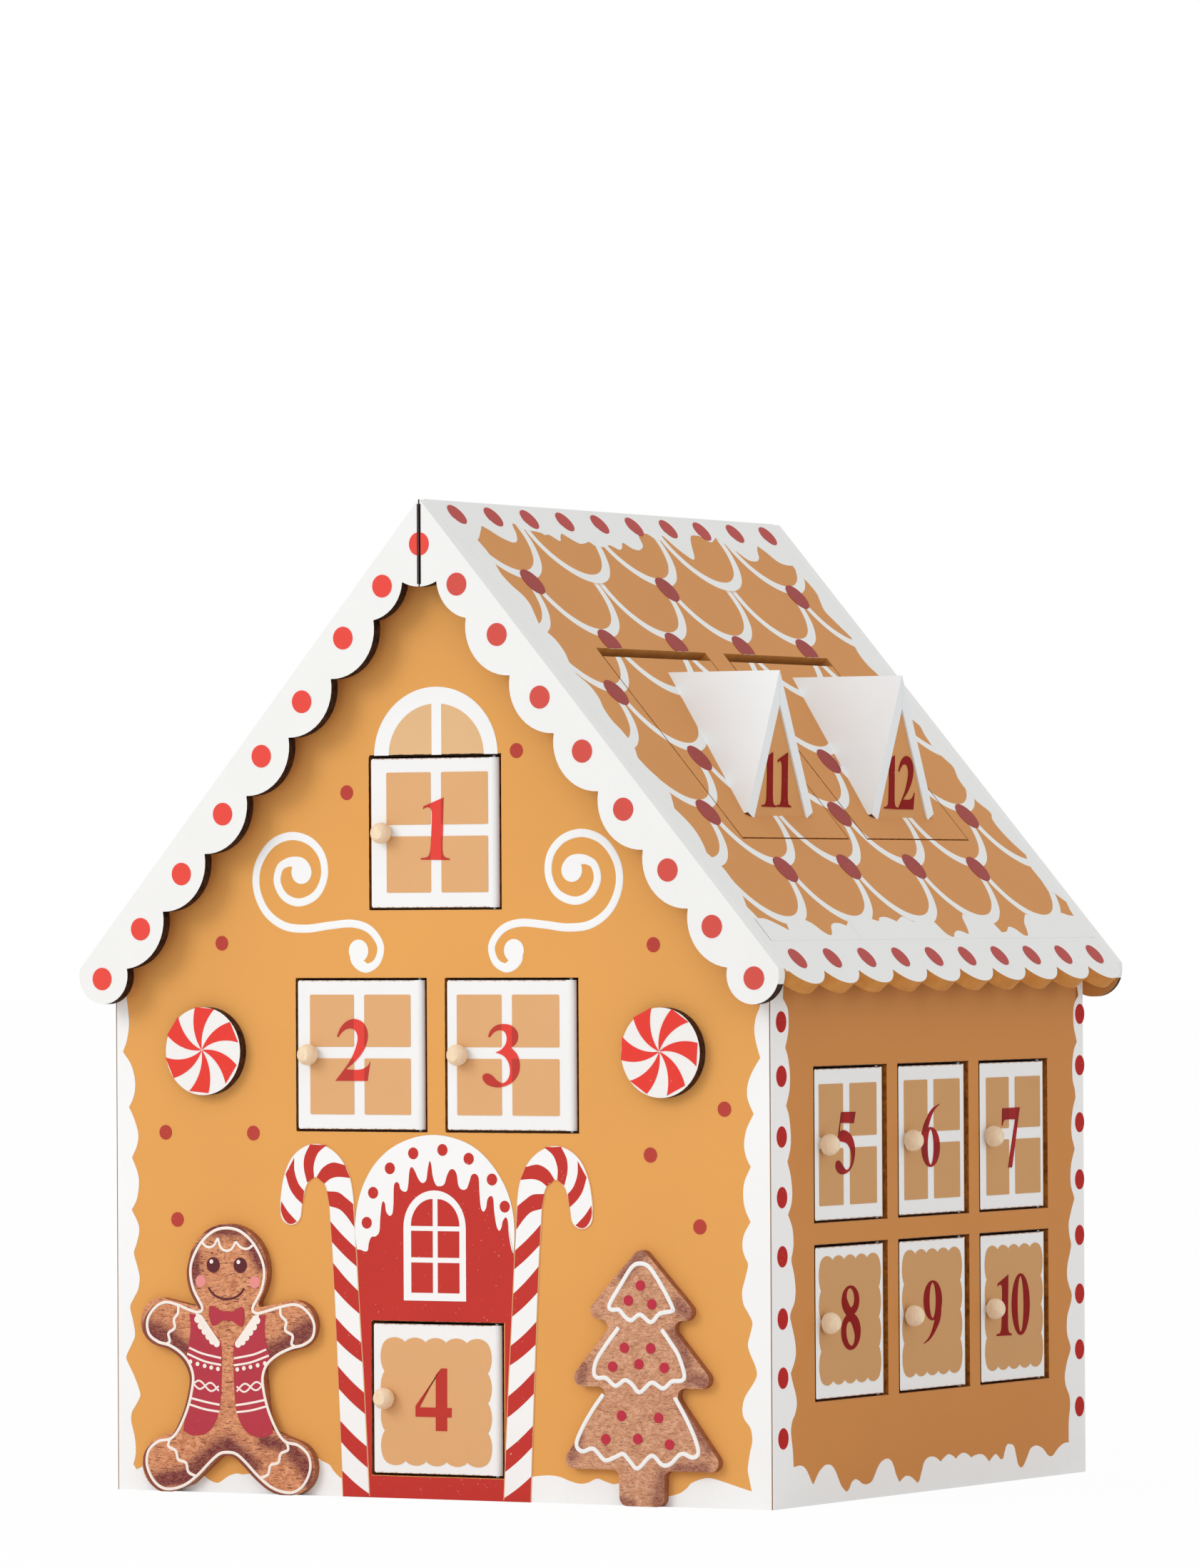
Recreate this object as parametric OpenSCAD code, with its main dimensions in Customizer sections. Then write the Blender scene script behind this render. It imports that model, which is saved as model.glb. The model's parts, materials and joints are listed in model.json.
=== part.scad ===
// A wooden advent calendar shaped like a gingerbread house, in millimetres.
// It stands on the plane z = 0 and faces -Y; the origin lies under the middle of the roof.
// Twenty hinged doors in the walls and four hinged flaps in the roof each close a compartment.

/* [House] */
// Width of the body across the front
body_w = 250; // [240:1:270]
// Depth of the body from its front face to its back face
body_d = 221.3; // [218:0.1:232]
// Height of the side walls at their outer faces
wall_h = 175.9; // [170:0.1:188]
// Slope of the roof in degrees
roof_angle = 49.1; // [48:0.1:50]
// Thickness of the walls, the roof panels and the floor
panel_t = 5; // [4.5:0.1:6]

/* [Roof] */
// How far the roof panels reach past the front face of the body
front_overhang = 5.5; // [4:0.1:8]
// How far the roof panels reach past the back face of the body
back_overhang = 9.8; // [4:0.1:12]
// How far the tips of the eave's scallops reach past a side wall
eave_overhang = 12.8; // [8:0.1:18]
// Number of scallops along an eave
eave_lobes = 10; // [6:1:14]
// Depth of the notches between the eave's scallops
eave_notch = 5.5; // [3:0.1:8]
// Straight stretch of eave in front of the row of scallops
eave_margin = 1.4; // [0:0.1:4]

/* [Bargeboards] */
// Thickness of a bargeboard
barge_t = 4; // [3:0.1:6]
// Width of a bargeboard over its scallops
barge_w = 18.5; // [17:0.1:24]
// Width of a bargeboard at the notches between its scallops
barge_neck = 12.5; // [10:0.1:14]
// Number of full scallops on a bargeboard
barge_lobes = 6; // [4:1:8]
// Distance down the slope from the ridge to the first notch
barge_first = 41.4; // [38:0.1:44]
// Distance up the slope from the eave's tips to the middle of the round end
barge_end_inset = 11.5; // [8:0.1:18]
// Radius of the round end
barge_end_r = 9.6; // [8:0.1:12]
// Radius of the small scallop next to the seam
barge_small_r = 13.5; // [12:0.1:15]
// Radius of the scallop that the seam divides
barge_apex_r = 14; // [12:0.1:16]
// Open seam between the two boards of a pair
seam = 0.5; // [0.2:0.1:1]

/* [Doors] */
// Side of a square door opening
opening = 50.3; // [47:0.1:51]
// Gap around the free edges of a door or flap
free_gap = 0.6; // [0.4:0.1:1]
// Gap beside the rounded hinge edge of a door
hinge_gap = 1.5; // [1.4:0.1:2.5]
// How much thinner a door is than its panel
door_relief = 0.4; // [0.3:0.1:0.8]
// Radius of a door's free corners
corner_r = 0.9; // [0.3:0.1:2]
// Distance from the ridge down to the top of the top door's opening
top_door_drop = 84.2; // [76:0.1:90]
// Height of the wall left between the top door and the paired doors
pair_door_gap = 22.6; // [18:0.1:30]
// Height of the bottom of the ground door's opening
ground_door_z = 7.6; // [7.6:0.1:20]
// Width of the wall left between the paired doors' openings
pair_rail = 7.2; // [6:0.1:12]
// Width of the wall left between neighbouring openings in a side wall
side_rail = 7.5; // [7:0.1:9]
// How far a side wall's rows lie below the middle of its height
side_row_drop = 0.5; // [0:0.1:5]
// How far a side wall's rows lie behind the middle of the body, seen from the right wall
side_row_shift = 1; // [0:0.1:3]

/* [Roof flaps] */
// Width of a flap opening along the ridge
flap_w = 73.5; // [68:0.1:76]
// Height of a flap opening down the slope
flap_h = 83.7; // [80:0.1:88]
// Distance down the slope from the ridge to a flap opening
flap_s = 64.4; // [60:0.1:68]
// Width of the roof left between the two flap openings of a side
flap_rail = 12.3; // [9:0.1:16]
// How far in front of the roof's middle the pair of flaps lies
flap_shift = 0.25; // [0:0.05:4]
// Width of the slot above a flap, where its top edge swings
flap_slot = 3.8; // [2:0.1:5]
// Distance from a flap's top edge to the middle of its hinge pins
flap_pin_edge = 3.2; // [2.6:0.1:4]

/* [Dormers] */
// Half of a dormer's width at its feet
dormer_half = 23.2; // [20:0.1:26]
// Distance down the slope from the ridge to the back tip of a dormer
dormer_back = 74.2; // [73:0.1:80]
// Distance down the slope from the ridge to the feet of a dormer
dormer_foot = 138.9; // [130:0.1:142]
// Thickness of a dormer's boards
dormer_t = 4.8; // [3:0.1:5.5]
// How far a dormer's face board stands behind the edges of its slopes
dormer_recess = 0.6; // [0.3:0.1:3]
// Radius of the rounded feet of a dormer's slopes
dormer_foot_r = 0.9; // [0.5:0.1:1.5]

/* [Knobs and pins] */
// Diameter of a knob's head
knob_d = 7; // [6:0.1:9]
// Height of a knob from the door to its top
knob_h = 5.6; // [5:0.1:8]
// Distance from the edge of the opening to the middle of the knob
knob_inset = 5.8; // [5.5:0.1:8]
// Diameter of a hinge pin
pin_d = 1.6; // [1.2:0.1:2]
// Length of the part of a hinge pin that lies in each piece
pin_hold = 3.2; // [2.5:0.1:3.4]
// Radial clearance of a hinge pin in its door
pin_play = 0.07; // [0.03:0.01:0.1]

/* [Front ornaments] */
// Diameter of a candy disc
candy_d = 29.2; // [24:0.1:34]
// Thickness of a candy disc
candy_t = 3.8; // [3:0.1:6]
// Half the distance between the middles of the candies
candy_x = 87.4; // [82:0.1:92]
// How far to the left of the middle of the front the pair of candies lies
candy_shift = 0.9; // [0:0.1:3]
// How far the candies lie above the middle between the cookies and the bargeboards
candy_lift = 2.7; // [-5:0.1:8]
// Thickness of the cookies
cookie_t = 3; // [2:0.1:4]
// Height of the gingerbread man
man_h = 89.2; // [80:0.1:96]
// Distance from the middle of the front to the middle of the man
man_x = 79.6; // [76:0.1:86]
// Height of the tree cookie
tree_h = 83.6; // [76:0.1:90]
// Distance from the middle of the front to the middle of the tree
tree_x = 78.3; // [76:0.1:86]

/* [Inside] */
// Thickness of the shelves and partitions
board_t = 3; // [2.5:0.1:4]
// How far a shelf reaches up behind a closed door to stop it
stop_lap = 1.5; // [1.2:0.1:2.5]
// Depth of the compartments behind the side doors
side_cell_d = 50; // [40:0.5:55]
// Depth of the compartments behind the top doors
top_cell_d = 55; // [40:0.5:75]
// Distance from the middle plane to the walls beside the top compartments
attic_wall_x = 30; // [28:0.1:32]
// Gap between the partitions of the side compartments and the top of the wall
side_board_gap = 5.9; // [4:0.1:15]

/* [Hidden] */
// Glue line between boards that meet
glue = 0.1;
// Overrun of cuts
cut = 1;
// Smoothness of round edges
$fn = 48;

wall_doors = [1, 2, 3, 4, 5, 6, 7, 8, 9, 10, 13, 14, 15, 16, 17, 18, 19, 20, 21, 22];
roof_flaps = [11, 12, 23, 24];
// The doors from this number on are in the back and left walls, and repeat the ones before
half_turn = 12;
front_doors = 4;
side_columns = 3;

tan_paint = "#e0a058";
roof_paint = "#c99a63";
icing = "#f1f1ee";
bare_wood = "#dcb483";
raw_board = "#b98a5c";
burnt_edge = "#7a1f22";
biscuit = "#b8794a";
steel = "#b5b8bb";

front_y = -body_d / 2;
inner_x = body_w / 2 - panel_t;
inner_y = body_d / 2 - panel_t;
under_ridge_z = wall_h + body_w / 2 * tan(roof_angle);
ridge_h = under_ridge_z + panel_t / cos(roof_angle);

// Roof panel, and how far in front of its middle the body's middle lies
roof_len = front_overhang + body_d + back_overhang;
body_shift = (back_overhang - front_overhang) / 2;
eave_s = (body_w / 2 + eave_overhang) / cos(roof_angle);
barge_end = eave_s - barge_end_inset;

// Heights of the bottoms of the openings
top_door_z = ridge_h - top_door_drop - opening;
pair_door_z = top_door_z - pair_door_gap - opening;
side_door_z = (wall_h - side_rail) / 2 - opening - side_row_drop;

// Distances between the middles of neighbouring openings
pair_pitch = opening + pair_rail;
side_pitch = opening + side_rail;
flap_pitch = flap_w + flap_rail;

// Leaf of a door
leaf_t = panel_t - door_relief;
leaf_h = opening - 2 * free_gap;
edge_r = leaf_t / 2;
hinge_x = opening / 2 - hinge_gap - edge_r;
leaf_reach = hinge_x + opening / 2 - free_gap;

// Leaf of a roof flap and the line of its pins, measured down the slope
flap_top = flap_s + flap_slot;
flap_leaf_w = flap_w - 2 * free_gap;
flap_leaf_h = flap_h - flap_slot - free_gap;
flap_pin_s = flap_top + flap_pin_edge;
flap_swing_r = norm([flap_pin_edge, edge_r]);

// Knob: a ball cut flat at its top, on a short neck with a peg that fills its hole
neck_d_share = 0.5;
neck_h_share = 0.2;
peg_d_share = 0.36;
peg_l_share = 0.6;
ball_sink_share = 0.42;
knob_neck_d = knob_d * neck_d_share;
knob_neck_h = knob_h * neck_h_share;
knob_peg_d = knob_d * peg_d_share;
knob_peg_l = leaf_t * peg_l_share;
knob_ball_z = knob_h - knob_d * ball_sink_share;
peg_play = 0.05;

// Eave scallops: circles that meet in the notches
lobe_pitch = (roof_len - eave_margin) / eave_lobes;
eave_r = (pow(lobe_pitch / 2, 2) + pow(eave_notch, 2)) / (2 * eave_notch);

// Bargeboard scallops: full ones between a round end and a small one beside the divided one
end_bite_share = 0.66;
small_step_share = 0.63;
small_drop_share = 0.84;
apex_drop_share = 1.06;
end_drop_share = 0.88;
barge_drop = barge_w - barge_neck;
barge_pitch = (barge_end - barge_first - barge_end_r * end_bite_share) / barge_lobes;
barge_r = (pow(barge_pitch / 2, 2) + pow(barge_drop, 2)) / (2 * barge_drop);
barge_small_s = barge_first - barge_small_r * small_step_share;
barge_small_drop = barge_w * small_drop_share;
barge_apex_drop = barge_apex_r * apex_drop_share;
barge_end_drop = barge_end_r * end_drop_share;

// Dormer section: its slopes rise from the feet to a level ridge
dormer_x = dormer_foot * cos(roof_angle);
dormer_back_x = dormer_back * cos(roof_angle);
dormer_z = ridge_h - dormer_back * sin(roof_angle);
dormer_rise = (dormer_foot - dormer_back) * sin(roof_angle);
dormer_pitch = atan(dormer_rise / dormer_half);
dormer_drop = dormer_t / cos(dormer_pitch);

// Shelves and partitions: the attic's floor ends at the roof or at the walls
spine_x = inner_x - side_cell_d - board_t / 2;
side_floor_z = max(side_door_z + stop_lap, panel_t + glue + board_t);
side_floors = [side_floor_z, side_floor_z + side_pitch];
side_board_top = wall_h - side_board_gap;
pair_floor_z = pair_door_z + stop_lap;
attic_floor_z = top_door_z + stop_lap;
attic_half = min((under_ridge_z - attic_floor_z) / tan(roof_angle), inner_x) - glue;
attic_wall_top = under_ridge_z - (attic_wall_x + board_t / 2) * tan(roof_angle) - glue;
swing_room = 0.8;

// Height of the underside of the roof at a distance from the middle plane
function under_roof(x) = under_ridge_z - x * tan(roof_angle);

// Candies: between the tops of the cookies and the scallops of the bargeboards above them
under_barge_z = ridge_h - candy_x * tan(roof_angle) - barge_w / cos(roof_angle);
candy_z = (man_h + under_barge_z) / 2 + candy_lift;

// Middle of the opening of front door n, as distance to the right and height
function front_spot(n) =
    n == 1 ? [0, top_door_z + opening / 2]
    : n == 2 ? [-pair_pitch / 2, pair_door_z + opening / 2]
    : n == 3 ? [pair_pitch / 2, pair_door_z + opening / 2]
    : [0, ground_door_z + opening / 2];

// Middle of the opening of side door n, as distance to the right and height
function side_spot(n) =
    let (i = n - front_doors - 1, row = floor(i / side_columns), column = i % side_columns)
    [side_row_shift + (column - 1) * side_pitch,
     side_door_z + opening / 2 + (1 - row) * side_pitch];

function first_half(n) = n > half_turn ? n - half_turn : n;

// Moves a piece drawn around the body's middle to its place in front of the roof's middle
module on_body() {
    translate([0, -body_shift, 0]) children();
}

// Places a piece drawn with x to the right, y into the house and z up at wall door n
module at_door(n) {
    m = first_half(n);
    spot = m <= front_doors ? front_spot(m) : side_spot(m);
    on_body()
        rotate(n > half_turn ? 180 : 0)
            if (m <= front_doors)
                translate([spot[0], front_y, spot[1]]) children();
            else
                translate([body_w / 2, spot[0], spot[1]]) rotate(90) children();
}

// Places a piece drawn with x down the slope, y along the ridge and z out of the right roof
module on_roof() {
    translate([0, 0, ridge_h]) rotate([0, roof_angle, 0]) children();
}

// Places a piece at roof flap n: 11 and 23 are the front ones
module at_flap(n) {
    side = n > half_turn ? 1 : 0;
    along = (first_half(n) == roof_flaps[0] ? -1 : 1) * flap_pitch / 2 - flap_shift;
    mirror([side, 0, 0]) translate([0, along, 0]) children();
}

// Space below the outer surface of the right roof
module below_roof() {
    on_roof()
        translate([-ridge_h, -roof_len, -ridge_h]) cube([3 * ridge_h, 2 * roof_len, ridge_h]);
}

// The two upright hinge pins of a wall door, or the holes for them
module door_pins(r, in_wall, in_door) {
    for (side = [-1, 1])
        translate([hinge_x, edge_r, side * opening / 2])
            mirror([0, 0, side > 0 ? 0 : 1])
                translate([0, 0, -free_gap - in_door])
                    cylinder(r = r, h = in_door + free_gap + in_wall);
}

// The two level hinge pins of a roof flap, or the holes for them
module flap_pins(r, in_roof, in_flap) {
    on_roof()
        for (side = [-1, 1])
            translate([flap_pin_s, side * flap_w / 2, -edge_r])
                mirror([0, side > 0 ? 0 : 1, 0])
                    rotate([-90, 0, 0])
                        translate([0, 0, -free_gap - in_flap])
                            cylinder(r = r, h = in_flap + free_gap + in_roof);
}

// Floor between the walls, flush with their bottom edges
module floor_board() {
    color(raw_board)
        on_body()
            translate([-inner_x + glue, -inner_y + glue, 0])
                cube([2 * (inner_x - glue), 2 * (inner_y - glue), panel_t]);
}

// Outline of a gable panel with its four door openings
module gable_outline() {
    difference() {
        polygon([[-body_w / 2, 0], [body_w / 2, 0], [body_w / 2, wall_h - glue],
                 [0, under_ridge_z - glue], [-body_w / 2, wall_h - glue]]);
        for (n = [1 : front_doors])
            translate(front_spot(n)) square(opening, center = true);
    }
}

module gable(doors) {
    color(tan_paint)
        difference() {
            on_body()
                rotate(doors[0] > half_turn ? 180 : 0)
                    translate([0, front_y + panel_t, 0])
                        rotate([90, 0, 0]) linear_extrude(panel_t) gable_outline();
            for (n = doors) at_door(n) door_pins(pin_d / 2, pin_hold, 0);
        }
}

module front_gable() {
    gable([1, 2, 3, 4]);
}

module back_gable() {
    gable([13, 14, 15, 16]);
}

// Right wall, with a top edge bevelled to the roof, seen from outside
module side_wall(doors) {
    length = 2 * inner_y;
    color(tan_paint)
        difference() {
            on_body()
                rotate(doors[0] > half_turn ? 180 : 0)
                    difference() {
                        translate([0, inner_y, 0])
                            rotate([90, 0, 0])
                                linear_extrude(length)
                                    polygon([[inner_x, 0], [body_w / 2, 0],
                                             [body_w / 2, wall_h - glue],
                                             [inner_x, under_roof(inner_x) - glue]]);
                        for (n = [front_doors + 1 : front_doors + 2 * side_columns])
                            translate([body_w / 2, side_spot(n)[0], side_spot(n)[1]])
                                cube([2 * panel_t + cut, opening, opening], center = true);
                    }
            for (n = doors) at_door(n) door_pins(pin_d / 2, pin_hold, 0);
        }
}

module right_wall() {
    side_wall([5, 6, 7, 8, 9, 10]);
}

module left_wall() {
    side_wall([17, 18, 19, 20, 21, 22]);
}

// Outline of a roof panel: x runs down the slope and y along the ridge
module roof_outline() {
    difference() {
        intersection() {
            translate([0, -roof_len / 2]) square([eave_s, roof_len]);
            union() {
                translate([0, -roof_len / 2]) square([eave_s - eave_notch, roof_len]);
                for (i = [0 : eave_lobes - 1])
                    translate([eave_s - eave_r, (i + 0.5) * lobe_pitch + eave_margin - roof_len / 2])
                        circle(eave_r);
            }
        }
        for (side = [-1, 1])
            translate([flap_s, side * flap_pitch / 2 - flap_shift - flap_w / 2]) square([flap_h, flap_w]);
    }
}

module roof_panel() {
    difference() {
        on_roof() translate([0, 0, -panel_t]) linear_extrude(panel_t) roof_outline();
        translate([glue / 2 - ridge_h, -roof_len, 0]) cube([ridge_h, 2 * roof_len, 2 * ridge_h]);
        at_flap(roof_flaps[0]) flap_pins(pin_d / 2, pin_hold, 0);
        at_flap(roof_flaps[1]) flap_pins(pin_d / 2, pin_hold, 0);
    }
}

module right_roof() {
    color(roof_paint) roof_panel();
}

module left_roof() {
    color(roof_paint) mirror([1, 0, 0]) roof_panel();
}

// Outline of the right bargeboard: x runs down the slope and y out of the roof
module barge_outline() {
    intersection() {
        translate([0, -2 * barge_w]) square([barge_end + barge_end_r, 2 * barge_w]);
        union() {
            translate([0, -barge_neck]) square([barge_end, barge_neck]);
            for (i = [0 : barge_lobes - 1])
                translate([barge_first + (i + 0.5) * barge_pitch, barge_r - barge_w]) circle(barge_r);
            translate([barge_small_s, barge_small_r - barge_small_drop]) circle(barge_small_r);
            rotate(roof_angle) translate([0, -barge_apex_drop]) circle(barge_apex_r);
            translate([barge_end, -barge_end_drop]) circle(barge_end_r);
        }
    }
}

module bargeboard() {
    difference() {
        on_roof() rotate([90, 0, 0]) linear_extrude(barge_t) barge_outline();
        translate([seam / 2 - ridge_h, -ridge_h, 0]) cube([ridge_h, 2 * ridge_h, 2 * ridge_h]);
    }
}

// Four scalloped boards: a pair on each end of the roof
module bargeboards() {
    color(icing)
        for (side = [0, 1], y = [-roof_len / 2, roof_len / 2 + barge_t])
            mirror([side, 0, 0]) translate([0, y, 0]) bargeboard();
}

// Front view of a door leaf, with its two free corners rounded
module leaf_front() {
    x0 = hinge_x - leaf_reach;
    translate([x0 + corner_r, -leaf_h / 2]) square([leaf_reach + edge_r - corner_r, leaf_h]);
    translate([x0, corner_r - leaf_h / 2]) square([corner_r, leaf_h - 2 * corner_r]);
    for (side = [-1, 1])
        translate([x0 + corner_r, side * (leaf_h / 2 - corner_r)]) circle(corner_r);
}

// Door leaf with a half-round hinge edge, and blind holes for its pins and its knob
module door(n) {
    color(icing)
        at_door(n)
            difference() {
                intersection() {
                    translate([0, 0, -leaf_h / 2])
                        linear_extrude(leaf_h) {
                            translate([hinge_x - leaf_reach, 0]) square([leaf_reach, leaf_t]);
                            translate([hinge_x, edge_r]) circle(edge_r);
                        }
                    translate([0, leaf_t + cut, 0])
                        rotate([90, 0, 0]) linear_extrude(leaf_t + 2 * cut) leaf_front();
                }
                door_pins(pin_d / 2 + pin_play, 0, pin_hold + pin_play);
                translate([knob_inset - opening / 2, -cut, 0])
                    rotate([-90, 0, 0])
                        cylinder(d = knob_peg_d + 2 * peg_play, h = knob_peg_l + cut + peg_play);
            }
}

// Turned knob: a peg in the door, a neck, and a ball with a flattened top
module knob(n) {
    color(bare_wood)
        at_door(n)
            translate([knob_inset - opening / 2, 0, 0])
                rotate([90, 0, 0])
                    union() {
                        translate([0, 0, -knob_peg_l])
                            cylinder(d = knob_peg_d, h = knob_peg_l + knob_neck_h);
                        cylinder(d = knob_neck_d, h = knob_ball_z);
                        intersection() {
                            translate([0, 0, knob_ball_z]) sphere(d = knob_d);
                            translate([0, 0, knob_neck_h])
                                cylinder(d = 2 * knob_d, h = knob_h - knob_neck_h);
                        }
                    }
}

// Flap leaf with holes for its pins in its side edges
module roof_flap(n) {
    color(roof_paint)
        at_flap(n)
            difference() {
                on_roof()
                    translate([flap_top, -flap_leaf_w / 2, -leaf_t])
                        cube([flap_leaf_h, flap_leaf_w, leaf_t]);
                flap_pins(pin_d / 2 + pin_play, 0, pin_hold + pin_play);
            }
}

// Section of one dormer slope from the ridge out: x is the distance from the ridge and y the height
module slope_section() {
    rise = dormer_half * tan(dormer_pitch);
    start = glue / 2 * tan(dormer_pitch);
    polygon([[glue / 2, -start], [dormer_half, -rise],
             [dormer_half, -rise - dormer_drop], [glue / 2, -start - dormer_drop]]);
}

// Section of the face board that fits between the slopes
module face_section() {
    top = dormer_drop + glue / cos(dormer_pitch);
    polygon([[0, -top], [dormer_half, -top - dormer_half * tan(dormer_pitch)],
             [-dormer_half, -top - dormer_half * tan(dormer_pitch)]]);
}

// Draws a section seen along the house's width, from x1 to x2, hung from the dormer's ridge
module along_dormer(x1, x2) {
    translate([x1, 0, dormer_z]) rotate([90, 0, 90]) linear_extrude(x2 - x1) children();
}

// The sharp tip that is rounded off at the foot of a slope, drawn in the slope's own plane: x along
// the house and y down from the dormer's ridge
module slope_tip() {
    reach = dormer_half / cos(dormer_pitch);
    sharp = atan((dormer_x - dormer_back_x) / reach);
    tip = [dormer_x, reach];
    middle = tip - dormer_foot_r / sin(sharp / 2) * [sin(sharp / 2), cos(sharp / 2)];
    run = dormer_foot_r / tan(sharp / 2);
    difference() {
        polygon([middle, tip + [cut, -run], tip + 3 * cut * [sin(sharp / 2), cos(sharp / 2)],
                 tip - run * [sin(sharp), cos(sharp)] + cut * [-cos(sharp), sin(sharp)]]);
        translate(middle) circle(dormer_foot_r);
    }
}

// One slope of a dormer, with its front foot rounded
module dormer_slope() {
    difference() {
        along_dormer(dormer_back_x, dormer_x) slope_section();
        translate([0, 0, dormer_z]) rotate([-dormer_pitch, 0, 0])
            translate([0, 0, -2 * dormer_t]) linear_extrude(4 * dormer_t) slope_tip();
    }
}

// Dormer: two sloping boards that meet in a level ridge, and a face board between them
module dormer(n) {
    at_flap(n)
        difference() {
            union() {
                color(icing) dormer_slope();
                color(icing) mirror([0, 1, 0]) dormer_slope();
                color(roof_paint)
                    along_dormer(dormer_x - dormer_recess - dormer_t, dormer_x - dormer_recess)
                        face_section();
            }
            below_roof();
        }
}

// A pair of pins for each door and each flap
module hinge_pins() {
    color(steel) {
        for (n = wall_doors) at_door(n) door_pins(pin_d / 2, pin_hold, pin_hold);
        for (n = roof_flaps) at_flap(n) flap_pins(pin_d / 2, pin_hold, pin_hold);
    }
}

// Fills in the inward corners of a shape with arcs of radius r
module fill_corners(r) {
    offset(r = -r) offset(r = r) children();
}

// Gingerbread man, as shares of its height from the middle of its feet
module man_outline() {
    head_share = [0, 0.8275];
    head_r_share = 0.1745;
    neck_share = [0, 0.7];
    neck_r_share = 0.115;
    hand_share = [0.293, 0.632];
    hand_r_share = 0.09;
    shoulder_share = [0.08, 0.585];
    shoulder_r_share = 0.095;
    chest_share = [0.036, 0.55];
    hip_share = [0.064, 0.28];
    trunk_r_share = 0.11;
    foot_share = [0.277, 0.103];
    foot_r_share = 0.102;
    ball_share = [0.192, 0.086];
    ball_r_share = 0.062;
    leg_share = [0.067, 0.205];
    leg_r_share = 0.073;
    limb_fillet_share = 0.06;
    neck_fillet_share = 0.012;
    h = man_h;
    fill_corners(neck_fillet_share * h) {
        hull() {
            translate(head_share * h) circle(head_r_share * h);
            translate(neck_share * h) circle(neck_r_share * h);
        }
        fill_corners(limb_fillet_share * h) {
            hull()
                for (side = [-1, 1], spot = [chest_share, hip_share])
                    translate([side * spot[0], spot[1]] * h) circle(trunk_r_share * h);
            for (side = [0, 1])
                mirror([side, 0]) {
                    hull() {
                        translate(hand_share * h) circle(hand_r_share * h);
                        translate(shoulder_share * h) circle(shoulder_r_share * h);
                    }
                    hull() {
                        translate(foot_share * h) circle(foot_r_share * h);
                        translate(ball_share * h) circle(ball_r_share * h);
                        translate(leg_share * h) circle(leg_r_share * h);
                    }
                }
        }
    }
}

// Tree, as shares of its height: three tiers given as [half width, foot, top] and a trunk
module tree_outline() {
    tier_shares = [[0.34, 0.14, 0.62], [0.3, 0.46, 0.84], [0.225, 0.72, 1]];
    corner_share = 0.035;
    tip_share = 0.045;
    trunk_half_share = 0.1;
    fillet_share = 0.03;
    h = tree_h;
    r = corner_share * h;
    fill_corners(fillet_share * h)
        offset(r = r) {
            for (tier = tier_shares)
                polygon([[r - tier[0] * h, tier[1] * h + r], [tier[0] * h - r, tier[1] * h + r],
                         [0, (tier[2] - tip_share) * h]]);
            translate([r - trunk_half_share * h, r])
                square([2 * (trunk_half_share * h - r), 2 * tier_shares[0][1] * h]);
        }
}

// Draws a piece on the front face: x to the right, y up, as thick as t
module on_front(t) {
    on_body() translate([0, front_y, 0]) rotate([90, 0, 0]) linear_extrude(t) children();
}

// Two candy discs and two cookies, cut out and glued to the front
module glued_ornaments() {
    color(burnt_edge)
        on_front(candy_t)
            for (side = [-1, 1]) translate([side * candy_x - candy_shift, candy_z]) circle(d = candy_d);
    color(biscuit)
        on_front(cookie_t) {
            translate([-man_x, 0]) man_outline();
            translate([tree_x, 0]) tree_outline();
        }
}

// Level board from x1 to x2 and y1 to y2, with its top at height z
module shelf(x1, x2, y1, y2, z) {
    translate([x1, y1, z - board_t]) cube([x2 - x1, y2 - y1, board_t]);
}

// Shelves under the side doors, under the paired doors and under the attic
module shelves() {
    depth = inner_y - glue;
    color(raw_board)
        on_body() {
            for (side = [0, 1], z = side_floors)
                mirror([side, 0, 0])
                    shelf(spine_x + board_t / 2 + glue, inner_x - glue, -depth, depth, z);
            shelf(glue + board_t / 2 - spine_x, spine_x - board_t / 2 - glue, -depth, depth, pair_floor_z);
            shelf(-attic_half, attic_half, -depth, depth, attic_floor_z);
        }
}

// Upright board in the plane of constant x, from y1 to y2 and z1 to z2
module long_board(x, y1, y2, z1, z2) {
    translate([x - board_t / 2, y1, z1]) cube([board_t, y2 - y1, z2 - z1]);
}

// Upright board in the plane of constant y, from x1 to x2 and z1 to z2
module cross_board(y, x1, x2, z1, z2) {
    translate([x1, y - board_t / 2, z1]) cube([x2 - x1, board_t, z2 - z1]);
}

// Partitions between the compartments of one long side, drawn for the right wall
module side_partitions() {
    tops = [side_floors[1] - board_t, side_board_top];
    x1 = spine_x + board_t / 2 + glue;
    for (row = [0, 1], between = [-0.5, 0.5])
        cross_board(side_row_shift + between * side_pitch, x1, inner_x - glue,
                    side_floors[row] + glue, tops[row] - glue);
}

// Partitions between the compartments behind one gable
module gable_partitions() {
    front = glue - inner_y;
    middle = -board_t / 2 - glue;
    attic_y = front + top_cell_d;
    low_top = pair_floor_z - board_t - glue;
    high_top = attic_floor_z - board_t - glue;
    for (side = [-1, 1])
        long_board(side * opening / 2, front, middle, panel_t + glue, low_top);
    long_board(0, front, middle, pair_floor_z + glue, high_top);
    cross_board(attic_y, glue + board_t / 2 - attic_wall_x, attic_wall_x - board_t / 2 - glue,
                attic_floor_z + glue, attic_wall_top);
}

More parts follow.
